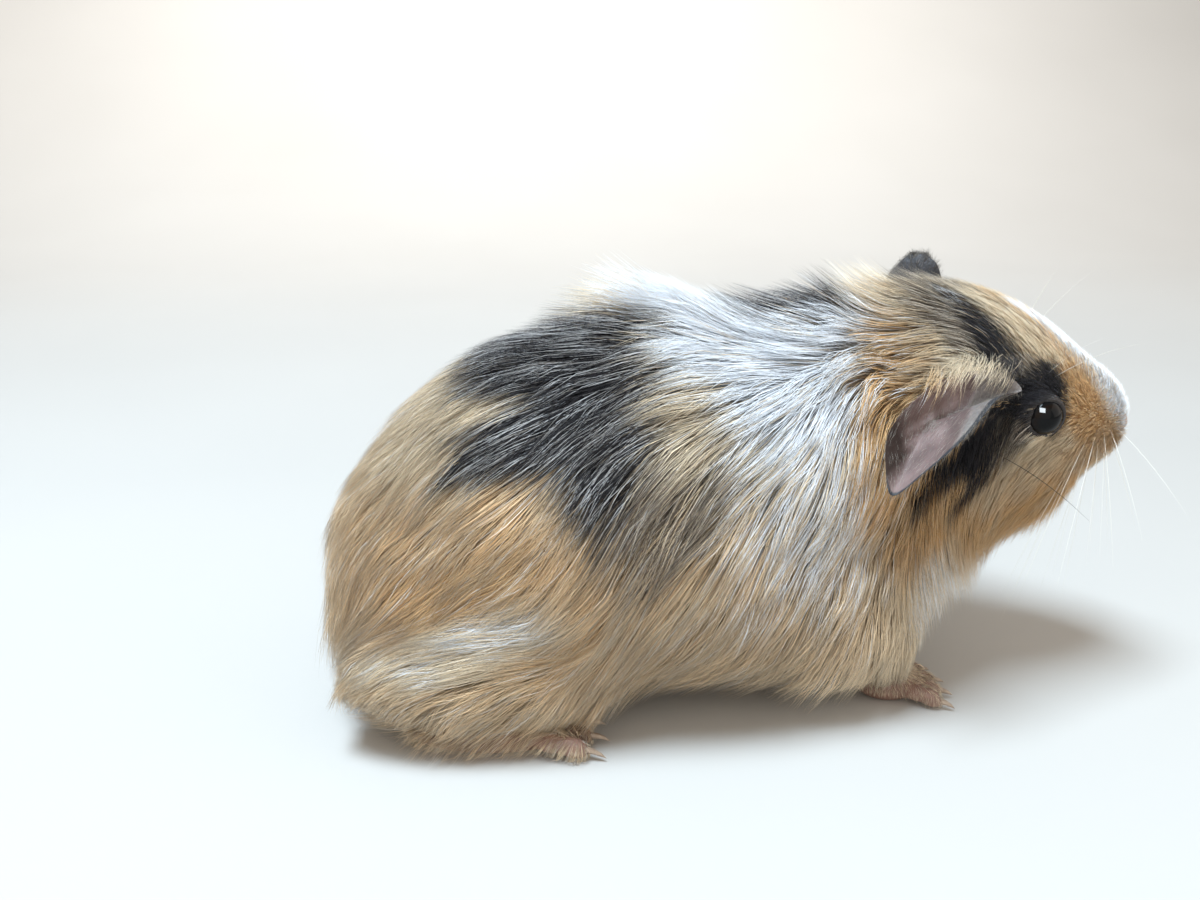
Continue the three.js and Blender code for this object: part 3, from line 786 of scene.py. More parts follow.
# ---------------------------------------------------------------- skin
def skin_mesh():
    """The zero level of skin_surface, found on a block of cells, then each point slid along the
    outward line until its distance is nothing. One closed surface carries legs, toes and lids."""
    cell = 1.12
    low, high = np.array([-116.0, -52.0, -3.0]), np.array([126.0, 52.0, 124.0])
    size = np.ceil((high - low) / cell).astype(int)
    across = np.stack(np.meshgrid(low[1] + cell * np.arange(size[1]),
                                  low[2] + cell * np.arange(size[2]), indexing="ij"), -1)
    block = np.empty(size, np.float32)
    for i in range(size[0]):
        slab = np.empty((size[1] * size[2], 3), np.float32)
        slab[:, 0] = low[0] + cell * i
        slab[:, 1:] = across.reshape(-1, 2)
        block[i] = skin_surface(slab).reshape(size[1], size[2])
    grid = openvdb.FloatGrid(10.0)
    grid.copyFromArray(block)
    points, triangles, quads = grid.convertToPolygons(0.0, 0.0)
    points = points.astype(float) * cell + low
    for _ in range(2):
        normal = outward(skin_surface, points, 0.2)
        points -= normal * np.clip(skin_surface(points), -0.6, 0.6)[:, None]
    quads = quads.astype(np.int64)
    faces = np.concatenate([quads, np.pad(triangles.astype(np.int64), ((0, 0), (0, 1)),
                                          constant_values=-1)]) if len(triangles) else quads
    a, b, c = (points[quads[:, i]] for i in range(3))
    way = (np.cross(b - a, c - a) * outward(skin_surface, a)).sum()
    if way < 0:
        faces = np.where(faces[:, 3:4] < 0, faces[:, [2, 1, 0, 3]], faces[:, ::-1])
    return points, faces


skin_points, skin_faces = skin_mesh()
skin = mesh_from("skin", skin_points, skin_faces)
share = markings(skin_points)
feet = np.clip((9.5 - skin_points[:, 2]) / 3, 0, 1)
eye_gap = np.min([np.linalg.norm(skin_points - centre, axis=1) for _, centre, _ in eye_frames()],
                 axis=0)
lid_dark = np.clip((8.4 - eye_gap) / 1.4, 0, 1)
add_values(skin, "markings", share[:, :4])
add_values(skin, "bareness", np.stack([feet, lid_dark, 0 * feet, 0 * feet + 1], 1))
finish(skin, SKIN, "cream_fur", "head", "neck", "trunk", "rump", "lower_jaw", "hindleg_left",
       "hindleg_right", "foreleg_left", "foreleg_right", "forefoot_left", "forefoot_right",
       "hindfoot_left", "hindfoot_right")

# ---------------------------------------------------------------- ears
EAR_RIM = np.array([(-0.6, -0.6, 0.4), (6.5, 2.0, 3.2), (13.5, 1.7, 5.0), (19.5, 0.7, 5.6),
                    (25, 0.2, 5.2), (36, 0, 3.4), (45.8, 0.4, 0.6), (43.3, 6, 0.6),
                    (35.3, 13.2, 0.4), (22, 15.2, -0.6), (11, 13.7, 0), (3.2, 9.0, 0.8),
                    (-0.1, 4.7, 0.8)])
# The line where the front of the ear turns over: along the ear, and across it.
EAR_CREASE = np.array([(4, 16), (6.5, 11), (7.7, 8.9), (9.3, 6.6), (12.5, 4.8), (18.5, 3.4),
                       (23, 1.9), (29, -0.4), (50, -4)])
EAR_MIDDLE = np.array([22.0, 8.0, 0.0])
EAR_POSE = {
    -1: dict(root=(22.6, 27.2, 9.4), length=(-0.631, 0.607, -0.483),
             width=(-0.768, -0.406, 0.495), cup=6.5, droop=0, reach=1.0,
             swell=2.0),
    1: dict(root=(8.4, 18.3, 11.1), length=(-0.25, 0.95, 0.204),
            width=(-0.79, -0.577, -0.209), cup=-15.6, droop=30, reach=0.55, swell=2.7),
}


def ear_axes(side):
    """Rows along the ear, across it and out of it, and its root, in the animal's frame."""
    pose = EAR_POSE[side]
    along = np.array(pose["length"]) / np.linalg.norm(pose["length"])
    across = np.array(pose["width"]) - along * (np.array(pose["width"]) @ along)
    across /= np.linalg.norm(across)
    axes = np.stack([along, across, np.cross(along, across)])
    root = np.array(pose["root"], float)
    if side < 0:
        axes, root = axes * FLIP, root * FLIP
    return axes @ HEAD_TURN.T, from_head(root)


def ear_rim(share):
    """Closed Catmull-Rom curve through the rim's points at shares of its round."""
    n = len(EAR_RIM)
    u = (share % 1) * n
    i, t = np.floor(u).astype(int), (u % 1)[:, None]
    a, b, c, d = (EAR_RIM[(i + k) % n] for k in (-1, 0, 1, 2))
    return 0.5 * (2 * b + (c - a) * t + (2 * a - 5 * b + 4 * c - d) * t ** 2
                  + (3 * b - a - 3 * c + d) * t ** 3)


def ear_height(reach, x, side):
    pose = EAR_POSE[side]
    return -pose["cup"] * (1 - reach ** pose["swell"]) - pose["droop"] * (x / 45) ** 2


def before_crease(x, y):
    """Distance in front of the crease, less than nothing in the cup behind it."""
    slope = np.interp(x, [8, 13], [0.45, 0.95])
    return (np.interp(x, *EAR_CREASE.T) - y) * slope


def ear(side, name):
    """A leaf: outline times reach from its middle, pressed in by the cup and bent by the droop,
    in two skins a wall apart that meet in a round rim. A ridge stands along the crease, broad in
    front of it and steep behind, and low folds run from the root into the cup."""
    rings, around = 44, 160
    axes, root = ear_axes(side)
    sheets, zones = [], []
    share = np.arange(around) / around
    rim = ear_rim(share if side < 0 else -share)
    for face in (1, -1):
        reach = np.linspace(0, 1, rings)[:, None, None]
        reach = 1 - (1 - reach) ** 1.35
        local = EAR_MIDDLE + (rim[None] - EAR_MIDDLE) * reach
        x, y = local[..., 0], local[..., 1]
        reach = reach[..., 0]
        front = before_crease(x, y)
        ridge = np.exp(-(front / np.where(front > 0, 5.0, 0.9)) ** 2)
        flap = np.clip(0.5 + front / 0.8, 0, 1)
        lift = (side < 0) * 2.6 * ridge * np.clip((1.02 - reach) * 5, 0, 1)
        fold = 0.9 * np.sin(0.75 * x + 0.55 * y) * np.exp(-((x - 18) / 9) ** 2) * (1 - reach)
        crease = np.sin(1.7 * y - 0.3 * x) * np.exp(-((x - 24) / 12) ** 2) * (1 - reach)
        fold = fold + 0.35 * crease
        wall = 0.62 * np.sqrt(np.clip(1 - reach ** 6, 0, 1)) + 0.02
        local = local.copy()
        local[..., 2] += ear_height(reach, x, side) + face * wall + lift + fold
        rear = np.clip((x - 22) / 11, 0, 1) * np.clip((y - 1) / 5, 0, 1)
        rear = rear * np.clip((reach - 0.2) / 0.4, 0, 1)
        # Painted shade: a dark band in the cup just behind the crease, where it lies deep.
        rear = np.maximum(rear, 0.45 * np.exp(-(np.minimum(front, 0) / 2.2) ** 2) * (front < 0))
        if side > 0:
            local[..., 0] = np.where(x > 31, 31 + 0.55 * (x - 31), x)
        local[..., 0] *= EAR_POSE[side]["reach"]
        sheets.append(local)
        band = np.interp(x, [6, 24, 32], [0.82, 0.89, 0.95])
        edge = np.clip((reach - band) / 0.02, 0, 1) * np.clip((x - 1) / 3, 0, 1)
        edge = edge * np.clip((6 - y) / 3, 0, 1)
        inner = side * face < 0
        zones.append(np.stack([(side < 0) * flap, edge, np.full(flap.shape, 0.0 if inner else 1.0),
                               rear], -1))
    # from the middle of the top out to the rim, and back in underneath
    points = np.concatenate([sheets[0], sheets[1][::-1][1:]]).reshape(-1, 3)
    values = np.concatenate([zones[0], zones[1][::-1][1:]]).reshape(-1, 4)
    used, faces = with_poles(2 * rings - 1, around, side > 0)
    piece = mesh_from(name, points[used] @ axes + root, faces)
    add_values(piece, "zones", values[used])
    finish(piece, EAR_SKIN, "ear_skin", name)
    return piece


ears = {side: ear(side, name) for side, name in ((-1, "ear_right"), (1, "ear_left"))}
for side, piece in ears.items():
    piece.name = {-1: "ear_leaf_right", 1: "ear_leaf_left"}[side]


# ---------------------------------------------------------------- eyes, nose, claws
def ball(rows, columns):
    """Unit ball as rings about its Z axis, with closed poles."""
    down = np.linspace(0, np.pi, rows)[:, None]
    turn = np.linspace(0, 2 * np.pi, columns, endpoint=False)[None]
    points = np.stack([np.sin(down) * np.cos(turn), np.sin(down) * np.sin(turn),
                       np.cos(down) + 0 * turn], -1).reshape(-1, 3)
    used, faces = with_poles(rows, columns, True)
    return points[used], faces


def basis(out, near=(0, 0, 1)):
    """Three unit rows, the last along out."""
    out = np.asarray(out, float) / np.linalg.norm(out)
    side = np.cross(near, out)
    side /= np.linalg.norm(side)
    return np.stack([side, np.cross(out, side), out])


def eyeball(side, centre, out):
    """A ball whose front swells a little past it over the cornea."""
    points, faces = ball(56, 72)
    front = np.clip((points[:, 2] - 0.55) / 0.45, 0, 1)
    ring = np.exp(-((points[:, 2] - 0.72) / 0.09) ** 2)
    points = points * (1 + 0.035 * front ** 2)[:, None] * EYE["radius"]
    piece = mesh_from("eyeball_left" if side > 0 else "eyeball_right",
                      points @ basis(out) + centre, faces)
    add_values(piece, "zones", np.stack([ring, front, 0 * ring, 0 * ring + 1], 1))
    finish(piece, EYE_GLOSS, "eye", "eye_left" if side > 0 else "eye_right")


for eye in eye_frames():
    eyeball(*eye)


NOSE = {"at": (61.6, 0, -7.5), "size": (3.7, 4.9, 4.1), "dip": -14}


def nose():
    """The nose pad: a ball stretched to its size, with two curved nostrils pressed in and a
    groove down its middle."""
    points, faces = ball(70, 90)
    points = points[:, [2, 0, 1]]
    size = np.array(NOSE["size"])
    y, z = points[:, 1] * size[1], points[:, 2] * size[2]
    dark = np.zeros(len(points))
    press = np.zeros(len(points))
    for side in (-1, 1):
        v = side * y
        slit = np.hypot((v - 2.9 - 0.35 * (z + 0.4) ** 2 * 0.35) / 0.62, (z + 0.2) / 1.75)
        press += 1.5 * np.exp(-slit ** 2)
        # The nostrils' dark mark: their skin, and painted shade of the openings.
        dark += np.exp(-(slit / 0.9) ** 2)
    press += 0.7 * np.exp(-(y / 0.45) ** 2) * (z < 0.6)
    front = points[:, 0] > 0
    points = points * size
    points[:, 0] -= press * front
    points = dipped(points, NOSE["dip"])
    piece = mesh_from("nose_pad", from_head(points + np.array(NOSE["at"])), faces)
    add_values(piece, "zones", np.stack([np.clip(dark, 0, 1) * front, 0 * y, 0 * y, 0 * y + 1],
                                        1))
    finish(piece, NOSE_SKIN, "nose_skin", "nose")


nose()
for name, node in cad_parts.items():
    if "_claw_" in name:
        node.data.materials.clear()
        node.data.materials.append(HORN)


# ---------------------------------------------------------------- coat
def spread_roots(count, weight):
    """Places on the skin: faces are taken in order by area times weight, and a point is put at
    random inside each."""
    corners = skin_points[skin_faces[:, :4]]
    pairs = np.concatenate([corners[:, [0, 1, 2]], corners[:, [0, 2, 3]]])
    weights = np.concatenate([weight, weight])
    area = np.linalg.norm(np.cross(pairs[:, 1] - pairs[:, 0], pairs[:, 2] - pairs[:, 0]), axis=1)
    order = np.lexsort(np.floor(pairs.mean(1) / 6).T)
    total = np.cumsum((area * weights)[order])
    at = (np.arange(count) + RNG.random(count)) / count * total[-1]
    face = order[np.searchsorted(total, at)]
    u, v = RNG.random((2, count, 1))
    u, v = np.where(u + v > 1, 1 - u, u), np.where(u + v > 1, 1 - v, v)
    p = pairs[face]
    return p[:, 0] + (p[:, 1] - p[:, 0]) * u + (p[:, 2] - p[:, 0]) * v


def nearest(p, centres):
    """For each point the number of its nearest centre."""
    found = np.empty(len(p), int)
    c = centres.astype(np.float32)
    for a in range(0, len(p), 6000):
        q = p[a:a + 6000].astype(np.float32)
        found[a:a + 6000] = ((c * c).sum(1) - 2 * q @ c.T).argmin(1)
    return found


HAIR_FLOOR = 0.35


def groom(roots, rings, locks, clump, jitter, length, lift, surface):
    """Lines of hair. Each starts at its root, goes the way the coat lies in equal steps, climbs
    from the skin towards the coat's surface, and is drawn to the line of its lock's own hair by
    clump times the 1.4th power of its share of length. Locks are drawn together in broad locks
    in the same way."""
    count = len(roots)
    lock = nearest(roots, roots[:locks])
    lay = lie_at(roots)
    lock_random = RNG.random(locks)
    each = RNG.random(count)
    span = lay[:, 3] * length * (0.72 + 0.5 * each) * (0.9 + 0.2 * lock_random[lock])
    turn = jitter * (RNG.normal(size=count) * 0.6 + RNG.normal(size=locks)[lock])
    turn = turn + 0.16 * ripple(roots, 16, 4)
    layer = lift + (1.04 - lift) * RNG.random(count) ** 0.7
    deep = -surface(roots)
    stand = lay[:, 4] * (0.25 + 1.15 * lock_random[lock]) + 0.4 * RNG.normal(size=count)
    stand = stand * np.minimum(1, span / 14)
    line = np.empty((rings, count, 3))
    line[0] = p = roots.copy()
    steps = rings - 1
    for k in range(1, rings):
        s = k / steps
        normal = outward(surface, p)
        way = lie_at(p)[:, :3]
        way = way - normal * (way * normal).sum(1, keepdims=True)
        way /= np.linalg.norm(way, axis=1, keepdims=True) + 1e-6
        way = way * np.cos(turn)[:, None] + np.cross(normal, way) * np.sin(turn)[:, None]
        p = p + way * (span / steps)[:, None]
        rise = 1 - (1 - s) ** 1.7
        goal = -deep * (1 - rise * layer) + (stand + 0.035 * span) * s * s
        move = goal - surface(p)
        p = p + normal * np.where(move < 0, 0.6 * move, move)[:, None]
        line[k] = p
    share = (np.linspace(0, 1, rings) ** 1.4)[:, None, None]
    broad = nearest(roots, roots[:locks // 5])
    line = line + 0.6 * clump * share * (line[:, broad] - line)
    line = line + clump * share * (line[:, lock] - line)
    line[..., 2] = np.maximum(line[..., 2], HAIR_FLOOR)
    return line, each, 0.5 * (lock_random[lock] + lock_random[broad])


PATCH = 0.003


def unwrap(roots):
    """Each root's place on the body's own unwrap: along the back, and round it."""
    along = np.clip((roots[:, 0] + 118) / 240, 0, 1)
    round_it = np.arctan2(roots[:, 1], roots[:, 2] - 55) / (2 * np.pi) + 0.5
    return np.stack([0.01 + 0.98 * along, 0.01 + 0.98 * round_it], 1)


def hairs(name, line, width, each, lock_random, pelts=None, root_shade_lift=0.0):
    """Closed hairs: three-sided, wide across the lie and thinner outwards, with a pointed tip.
    Their half width falls from the root by one minus the share of length to the power 1.8."""
    rings, count, _ = line.shape
    ahead = np.gradient(line, axis=0)
    ahead /= np.linalg.norm(ahead, axis=2, keepdims=True) + 1e-9
    normal = outward(coat_surface, line[rings // 2])[None]
    across = np.cross(ahead, np.broadcast_to(normal, ahead.shape))
    across /= np.linalg.norm(across, axis=2, keepdims=True) + 1e-9
    up = np.cross(across, ahead)
    s = np.linspace(0, 1, rings)[:, None, None]
    half = np.asarray(width).reshape(1, -1, 1) * (1 - s ** 1.8) * (0.7 + 0.3 * np.minimum(1, 4 * s))
    corners = [line - across * half - up * half * 0.2, line + across * half - up * half * 0.2,
               line + up * half * 0.5]
    body = np.stack(corners, 2)[:-1].transpose(1, 0, 2, 3).reshape(count, -1, 3)
    points = np.concatenate([body, line[-1][:, None]], 1)
    per = points.shape[1]
    quads = []
    for k in range(rings - 2):
        for i in range(3):
            j = (i + 1) % 3
            quads.append((3 * k + i, 3 * k + j, 3 * k + 3 + j, 3 * k + 3 + i))
    last = 3 * (rings - 2)
    quads += [(last + i, last + (i + 1) % 3, per - 1, -1) for i in range(3)]
    quads.append((0, 2, 1, -1))
    quads = np.array(quads)
    faces = np.where(quads[None] >= 0, quads[None] + per * np.arange(count)[:, None, None], -1)
    share = np.concatenate([np.repeat(np.linspace(0, 1, rings)[:-1], 3), [1.0]])
    side = np.concatenate([np.tile([0.0, 1.0, 0.5], rings - 1), [0.5]])
    piece = mesh_from(name, points.reshape(-1, 3), faces.reshape(-1, 4))
    uv = unwrap(line[0])[:, None] + PATCH * (np.stack([share, side], 1) - 0.5)[None]
    add_patches(piece, uv.reshape(-1, 2))
    if pelts is not None:
        pelts = np.broadcast_to(pelts, (rings, count, pelts.shape[-1]))
        pelts = pelts[..., :4].transpose(1, 0, 2)
        pelts = np.concatenate([np.repeat(pelts[:, :-1], 3, axis=1), pelts[:, -1:]], 1)
        add_values(piece, "markings", pelts.reshape(-1, 4))
    # Share of length, which sets the painted shade towards the root; the lift raises it at the root
    # end, so that painted shade is lighter.
    along = np.broadcast_to(root_shade_lift + (1 - root_shade_lift) * share, (count, per))
    hair = np.stack([np.repeat(each[:, None], per, 1), along,
                     np.repeat(lock_random[:, None], per, 1), np.ones((count, per))], -1)
    add_values(piece, "hair", hair.reshape(-1, 4))
    return piece


def pelts_of(line, lock_random, shows=0.75):
    """Each hair takes one pelt, by chance in proportion to the shares where it shows, read along
    it at points drawn half way to the place where it shows most. Cream and gold are blended in
    their proportion, with more gold in some locks than in others."""
    count = len(lock_random)
    k, part = divmod(shows * (len(line) - 1), 1)
    middle = line[int(k)] * (1 - part) + line[int(k) + 1] * part
    stray = RNG.normal(size=(count, 3)) * 0.8
    roll, chance = RNG.random((2, count))
    body = to_head(middle)[:, 0] < 3
    found = []
    for place in line:
        share = markings(middle + 0.5 * (place - middle) + stray)
        pick = np.cumsum(share, 1) < roll[:, None] * share.sum(1, keepdims=True)
        kind = np.minimum(pick.sum(1), 4)
        chosen = np.eye(5, dtype=np.float32)[kind]
        pale = (kind == CREAM) | (kind == GOLD)
        gold = share[:, GOLD] / (share[:, GOLD] + share[:, CREAM] + 1e-6)
        gold = np.clip(gold * (0.45 + 1.1 * lock_random) + 0.3 * (chance - 0.5), 0, 1)
        chosen[pale] = np.stack([0 * gold, gold, 0 * gold, 0 * gold, 1 - gold], 1)[pale]
        chosen[(kind == BLACK) & (chance < 0.24) & body] = (0.30, 0, 0.8, 0, 0)
        chosen[(kind == TICKED) & (chance < 0.35)] = (0.75, 0, 0, 0.2, 0)
        chosen[(kind == TICKED) & (chance > 0.75)] = (0.2, 0.3, 0.3, 0, 0.4)
        chosen[pale & (chance > 0.94) & body] = (0, 0, 0.6, 0, 0.4)
        chosen[pale & (chance > 0.91) & (chance <= 0.94) & body] = (0.35, 0.3, 0, 0.3, 0)
        chosen[(kind == WHITE) & (chance < 0.08)] = (0, 0.2, 0.2, 0, 0.6)
        found.append(chosen)
    return np.stack(found)


def keep_clear(line, reach):
    """True where a hair leaves the eyes' openings clear and lies outside the ears' leaves."""
    good = np.ones(line.shape[1], bool)
    for _, centre, out in eye_frames():
        q = line - centre
        rise = q @ out
        off = np.linalg.norm(q - rise[..., None] * out, axis=2)
        good &= ~((off < reach) & (rise > 0)).any(0)
    rim = (ear_rim(np.arange(360) / 360) - EAR_MIDDLE)[:, :2].T
    angles = np.arctan2(rim[1], rim[0])
    order = np.argsort(angles)
    for side in (-1, 1):
        axes, root = ear_axes(side)
        q = (line - root) @ axes.T / [EAR_POSE[side]["reach"], 1, 1]
        x, y = q[..., 0] - EAR_MIDDLE[0], q[..., 1] - EAR_MIDDLE[1]
        far = np.interp(np.arctan2(y, x), angles[order], np.hypot(*rim)[order],
                        period=2 * np.pi)
        # roots past the ear's rear edge may send their hair a little way over it
        limit = np.where(q[0, :, 1] > 12.5, 0.80, 1.0)
        good &= ~((np.hypot(x, y) / far < limit) & (np.abs(q[..., 2]) < 8)).any(0)
    return good


EYE_OPENING = 4.75
MOST_TRIANGLES = 195000


def coat(name, count, rings, weight, width, locks, clump, slot, jitter=0.11, length=1.0,
         lift=0.6, evenness=1.0, surface=coat_surface, shows=0.75, root_shade_lift=0.0):
    """A whole region's hair, in pieces that each stay under MOST_TRIANGLES."""
    count, locks = fewer(count), fewer(locks)
    roots = spread_roots(count, weight)
    roots = roots[RNG.permutation(count)]
    line, each, lock_random = groom(roots, rings, locks, clump, jitter, length, lift, surface)
    good = keep_clear(line, EYE_OPENING)
    line, each, lock_random = line[:, good], each[good], lock_random[good]
    pelts = pelts_of(line, lock_random, shows)
    # Narrower and brighter painted light and shade on white hair, and narrower again by evenness.
    white = pelts[rings // 2, :, WHITE]
    each = 0.5 + (each - 0.5) * (1 - 0.6 * white) * evenness + 0.15 * white
    lock_random = 0.5 + (lock_random - 0.5) * (1 - 0.7 * white) * (0.5 + 0.5 * evenness)
    thick = np.asarray(width) * (0.75 + 0.5 * RNG.random(line.shape[1]))
    thick = thick * 1
    order = np.argsort(line[0, :, 0])
    parts = max(1, -(-len(order) // (MOST_TRIANGLES // (6 * (rings - 2) + 4))))
    for i, part in enumerate(np.array_split(order, parts)):
        part_name = name if parts == 1 else f"{name}_{i + 1}"
        piece = hairs(part_name, line[:, part], thick[part], each[part], lock_random[part],
                      pelts[:, part], root_shade_lift)
        finish(piece, COAT, slot)


face_centres = skin_points[skin_faces[:, :4]].mean(1)
face_head = to_head(face_centres)
head_share = np.clip((face_head[:, 0] - 2) / 8, 0, 1) * (face_head[:, 2] > -62)
head_share *= np.clip((face_centres[:, 2] - 40) / 8, 0, 1)
low_share = np.clip((13 - face_centres[:, 2]) / 4, 0, 1)
face_normal = outward(skin_surface, face_centres)
under = np.clip((-face_normal[:, 2] - 0.55) / 0.25, 0, 1)
off_nose = np.linalg.norm((face_head - [62, 0, -7.5]) / [3.7, 4.8, 4.0], axis=1) > 1
body_weight = (1 - head_share) * (1 - low_share) * (1 - 0.8 * under)
head_weight = head_share * off_nose * (1 + 0.8 * np.clip((face_head[:, 0] - 25) / 25, 0, 1))
foot_top = low_share * np.clip((face_normal[:, 2] + 0.35) / 0.4, 0, 1) * (face_centres[:, 2] > 1)
lid_gap = np.min([np.linalg.norm(face_centres - centre, axis=1) for _, centre, _ in eye_frames()],
                 axis=0)
lid_ring = ((lid_gap > 7.2) & (lid_gap < 11)) * 1.0


def foot_coat(p):
    """Short hair ends a millimetre off the skin of the feet."""
    return skin_surface(p) - 1.0


coat("coat_body", 58500, 4, body_weight, 0.13, 4200, 0.5, "cream_fur", length=1.15)
# Head and lids: evenness narrows the painted light and shade between hairs and locks, and the root
# lift takes the painted root shade away.
fine = {"evenness": 0.35, "shows": 0.95, "root_shade_lift": 0.5}
coat("coat_head", 38000, 3, head_weight, 0.085, 5200, 0.2, "gold_fur", jitter=0.06, lift=0.85,
     **fine)
coat("coat_feet", 7000, 3, foot_top, 0.075, 1500, 0.15, "foot_skin", length=0.3,
     surface=foot_coat)
coat("coat_lids", 1800, 3, lid_ring, 0.065, 500, 0.1, "gold_fur", jitter=0.08, length=0.4,
     lift=0.5, **fine)

# Pelts of an ear's hair, by where it grows: black, gold, white, ticked, cream.
DOWN = {"back": (0.75, 0.0, 0.3, 0.4, 0.1), "flap": (0.35, 0.1, 0.3, 0.6, 0.2),
        "cup": (0.22, 0.1, 0.45, 0.45, 0.2)}


def ear_down(side, name, count, length, width):
    """Short hair on an ear: roots at random over it, thickest on its back and flap, each along
    the skin towards the ear's edge and end on a line that bends back to the skin."""
    mesh = ears[side].data
    points, normals = np.empty((2, len(mesh.vertices), 3), np.float32)
    mesh.vertices.foreach_get("co", points.ravel())
    mesh.vertices.foreach_get("normal", normals.ravel())
    zones = np.empty((len(points), 4), np.float32)
    mesh.attributes["zones"].data.foreach_get("color", zones.ravel())
    points = points * 1000.0 - SHIFT
    weight = np.maximum(zones[:, 2], zones[:, 0]) * 0.6 + 0.4
    count = fewer(count)
    pick = RNG.choice(len(points), count, p=weight / weight.sum())
    axes, _ = ear_axes(side)
    normal = normals[pick].astype(float)
    start = points[pick] + RNG.normal(size=(count, 3)) * 0.35 - 0.2 * normal
    way = axes[0] * 0.8 - axes[1] * 0.55 + RNG.normal(size=(count, 3)) * 0.15
    way -= normal * (way * normal).sum(1, keepdims=True)
    way /= np.linalg.norm(way, axis=1, keepdims=True)
    bare = np.maximum(zones[pick, 2], zones[pick, 0]) < 0.5
    span = length * (0.6 + 0.8 * RNG.random(count)) * np.where(bare, 1.7, 1.0)
    s = np.linspace(0, 1, 3)[:, None, None]
    line = start + (way * span[:, None]) * s + normal * (0.4 * np.sin(2.4 * s))
    each = RNG.random(count)
    back, flap, cup = (np.array([DOWN[place]]) for place in ("back", "flap", "cup"))
    tone = np.select([zones[pick, 2:3] > 0.5, zones[pick, 0:1] > 0.5], [back, flap], cup)
    down = hairs(name, line, np.full(count, width), each, each, tone)
    finish(down, COAT, "ear_skin")


ear_down(-1, "ear_down_right", 5200, 1.7, 0.028)
ear_down(1, "ear_down_left", 5200, 2.1, 0.05)


def ear_fringe(name, count):
    """Hair of the crown that falls over the right ear's rear edge, from roots just off the rim."""
    axes, root = ear_axes(-1)
    count = fewer(count)
    share = (9.2 + 2.6 * RNG.random(count)) / len(EAR_RIM)
    start = ear_rim(share)
    out = start - EAR_MIDDLE
    out /= np.linalg.norm(out, axis=1, keepdims=True)
    start = start + out * RNG.uniform(0.5, 5.0, (count, 1)) + [-3, 0, -0.8]
    span = RNG.uniform(4, 13, count)
    way = np.array([0.93, -0.30, 0.10]) + RNG.normal(size=(count, 3)) * [0.06, 0.16, 0.07]
    s = np.linspace(0, 1, 4)[:, None, None]
    local = start + way * span[:, None] * s + [0, 0, 1] * (2.6 * np.sin(2.6 * s))
    line = local @ axes + root
    each, lock_random = RNG.random((2, count))
    piece = hairs(name, line, np.full(count, 0.06), each * 0.6 + 0.3, lock_random,
                  pelts_of(line, lock_random))
    finish(piece, COAT, "gold_fur")


ear_fringe("ear_fringe", 400)


# ---------------------------------------------------------------- whiskers
WHISKER_LIMIT = 135.0


def whiskers():
    """Long bowed hairs from rows of roots on each side of the muzzle, and a few over the eyes:
    a straight line that sags by the square of its share of length."""
    roots, ways, spans, tones = [], [], [], []
    for side in (-1, 1):
        for i in range(15):
            row, place = divmod(i, 5)
            q = np.array([57.5 - 1.9 * place - 0.5 * row, side * (7.2 + 1.15 * place + 0.3 * row),
                          -5.5 - 2.6 * row])
            roots.append(q)
            ways.append([0.30 - 0.16 * place + RNG.normal() * 0.08,
                         side * (0.42 + 0.03 * place + RNG.normal() * 0.05),
                         -0.12 - 0.42 * row - 0.10 * place + RNG.normal() * 0.12])
            spans.append(20 + 4 * place + RNG.random() * 12)
            tones.append(0.0)
        for i in range(2):
            roots.append(np.array([36.5 - 3 * i, side * 17, 11.5]))
            ways.append([0.45 - 0.25 * i, side * 0.35, 0.9])
            spans.append(30 - 6 * i)
            tones.append(0.0)
        roots.append(np.array([26.0, side * 28, -11]))
        ways.append([0.85, side * 0.25, -0.16])
        spans.append(27)
        tones.append(1.0)
    roots, ways, spans = np.array(roots), np.array(ways), np.array(spans)
    ways /= np.linalg.norm(ways, axis=1, keepdims=True)
    s = np.linspace(0, 1, 12)[:, None, None]
    line = from_head(roots + ways * spans[:, None] * s)
    line[..., 2] -= (spans[None, :, None] * 0.22 * s ** 2)[..., 0]
    start = from_head(roots)
    settle = outward(coat_surface, start) * (coat_surface(start) + 2.2)[:, None]
    line -= settle[None]
    length = np.maximum(np.ptp(line[..., 0], 0), 1e-6)
    reach = np.clip((WHISKER_LIMIT - line[0, :, 0]) / length, 0, 1)
    line = line[0] + (line - line[0]) * reach[:, None]
    line[..., 2] = np.maximum(line[..., 2], 1.0)
    each = RNG.random(len(roots))
    thick = np.where(roots[:, 2] > 0, 0.07, 0.11)
    piece = hairs("whiskers", line, thick, each, np.array(tones))
    finish(piece, WHISKER, "white_fur")


whiskers()


# ---------------------------------------------------------------- stage, light, camera
def stage_floor():
    """A pale floor that curves up far behind into a wall."""
    run = np.linspace(-3, 3, 25)
    depth = np.linspace(-1.4, 3.2, 47)
    up = np.where(depth > 0.9, (depth - 0.9) ** 2 * 0.45, 0)
    points = np.stack(np.broadcast_arrays(run[None], depth[:, None], up[:, None]), -1)
    points = points.reshape(-1, 3) * 1000 - SHIFT
    floor = mesh_from("floor", points, grid_faces(47, 25, closed=False))
    material, tree, shader = new_material("floor")
    cloud = noise(tree, object_place(tree), 3.0, 2.0)
    dress(tree, shader, mixed(tree, cloud, (0.47, 0.455, 0.435), (0.52, 0.505, 0.485)),
          Roughness=0.85)
    floor.data.materials.append(material)


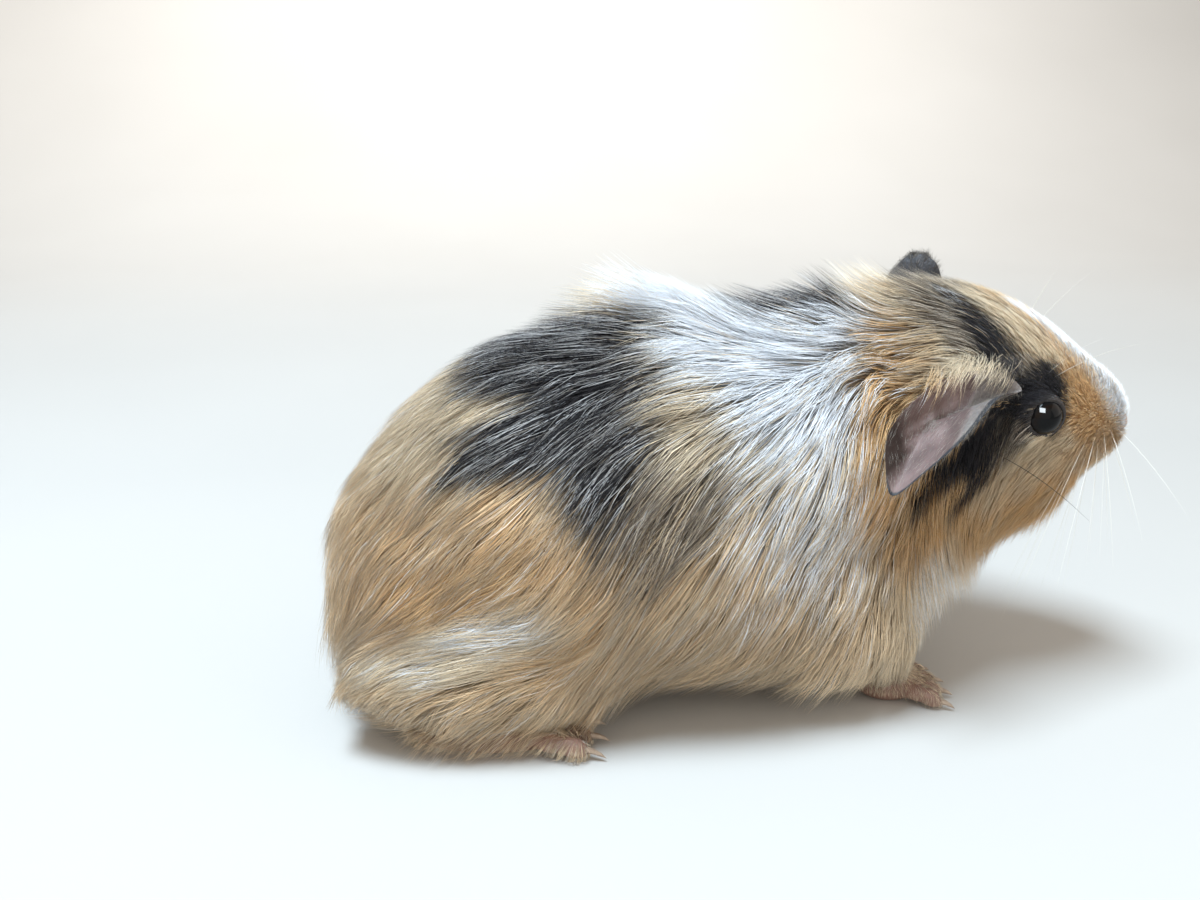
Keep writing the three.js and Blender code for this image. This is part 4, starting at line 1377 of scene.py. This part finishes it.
def lamp(name, at, to, size, power, colour):
    data = bpy.data.lights.new(name, "AREA")
    data.shape, data.size, data.size_y = "RECTANGLE", size[0], size[1]
    data.energy, data.color = power, colour
    light = bpy.data.objects.new(name, data)
    bpy.context.scene.collection.objects.link(light)
    light.location = at
    light.rotation_euler = (Vector(to) - Vector(at)).to_track_quat("-Z", "Y").to_euler()
    return light


stage_floor()
# Lamps: name, place, what it faces, size, power and colour.
LAMPS = [
    ("sky", (-0.30, -0.20, 1.25), (0, 0, 0.06), (0.46, 0.40), 29, (0.71, 0.87, 1.0)),
    ("window", (-0.40, -1.15, 0.70), (0, 0, 0.07), (2.4, 1.6), 7.5, (1.0, 0.92, 0.80)),
    ("front", (1.1, -0.4, 0.6), (0, 0, 0.08), (1.3, 1.0), 4.5, (1.0, 0.96, 0.90)),
    ("catch", (-0.245, -0.68, 0.78), (0.09, -0.03, 0.10), (0.48, 0.44), 66, (0.86, 0.94, 1.0)),
    ("wall", (0.0, 0.9, 1.5), (0, 2.2, 0.9), (1.6, 0.6), 44, (1.0, 0.98, 0.95)),
]
lamps = {row[0]: lamp(*row) for row in LAMPS}
# The catch lamp lights the eyes alone.
lit = bpy.data.collections.new("eyes")
for name in ("eyeball_left", "eyeball_right"):
    lit.objects.link(bpy.data.objects[name])
lamps["catch"].light_linking.receiver_collection = lit
world = bpy.data.worlds.new("studio")
world.use_nodes = True
world.node_tree.nodes["Background"].inputs[0].default_value = (0.96, 0.90, 0.82, 1)
world.node_tree.nodes["Background"].inputs[1].default_value = 0.52
bpy.context.scene.world = world
bpy.context.scene.view_settings.view_transform = "Standard"

camera_data = bpy.data.cameras.new("camera")
camera_data.lens, camera_data.sensor_width = 28.8, 36
camera_data.clip_start, camera_data.clip_end = 0.01, 20
camera = bpy.data.objects.new("camera", camera_data)
bpy.context.scene.collection.objects.link(camera)
# The camera swings round from the side by the first angle and looks down by the second.
swing, tip = rad(-6), rad(18.5)
ahead = Vector((-np.sin(swing) * np.cos(tip), np.cos(swing) * np.cos(tip), -np.sin(tip)))
camera.location = (-0.0638, -0.2639, 0.163)
camera.rotation_euler = ahead.to_track_quat("-Z", "Y").to_euler()
bpy.context.scene.camera = camera
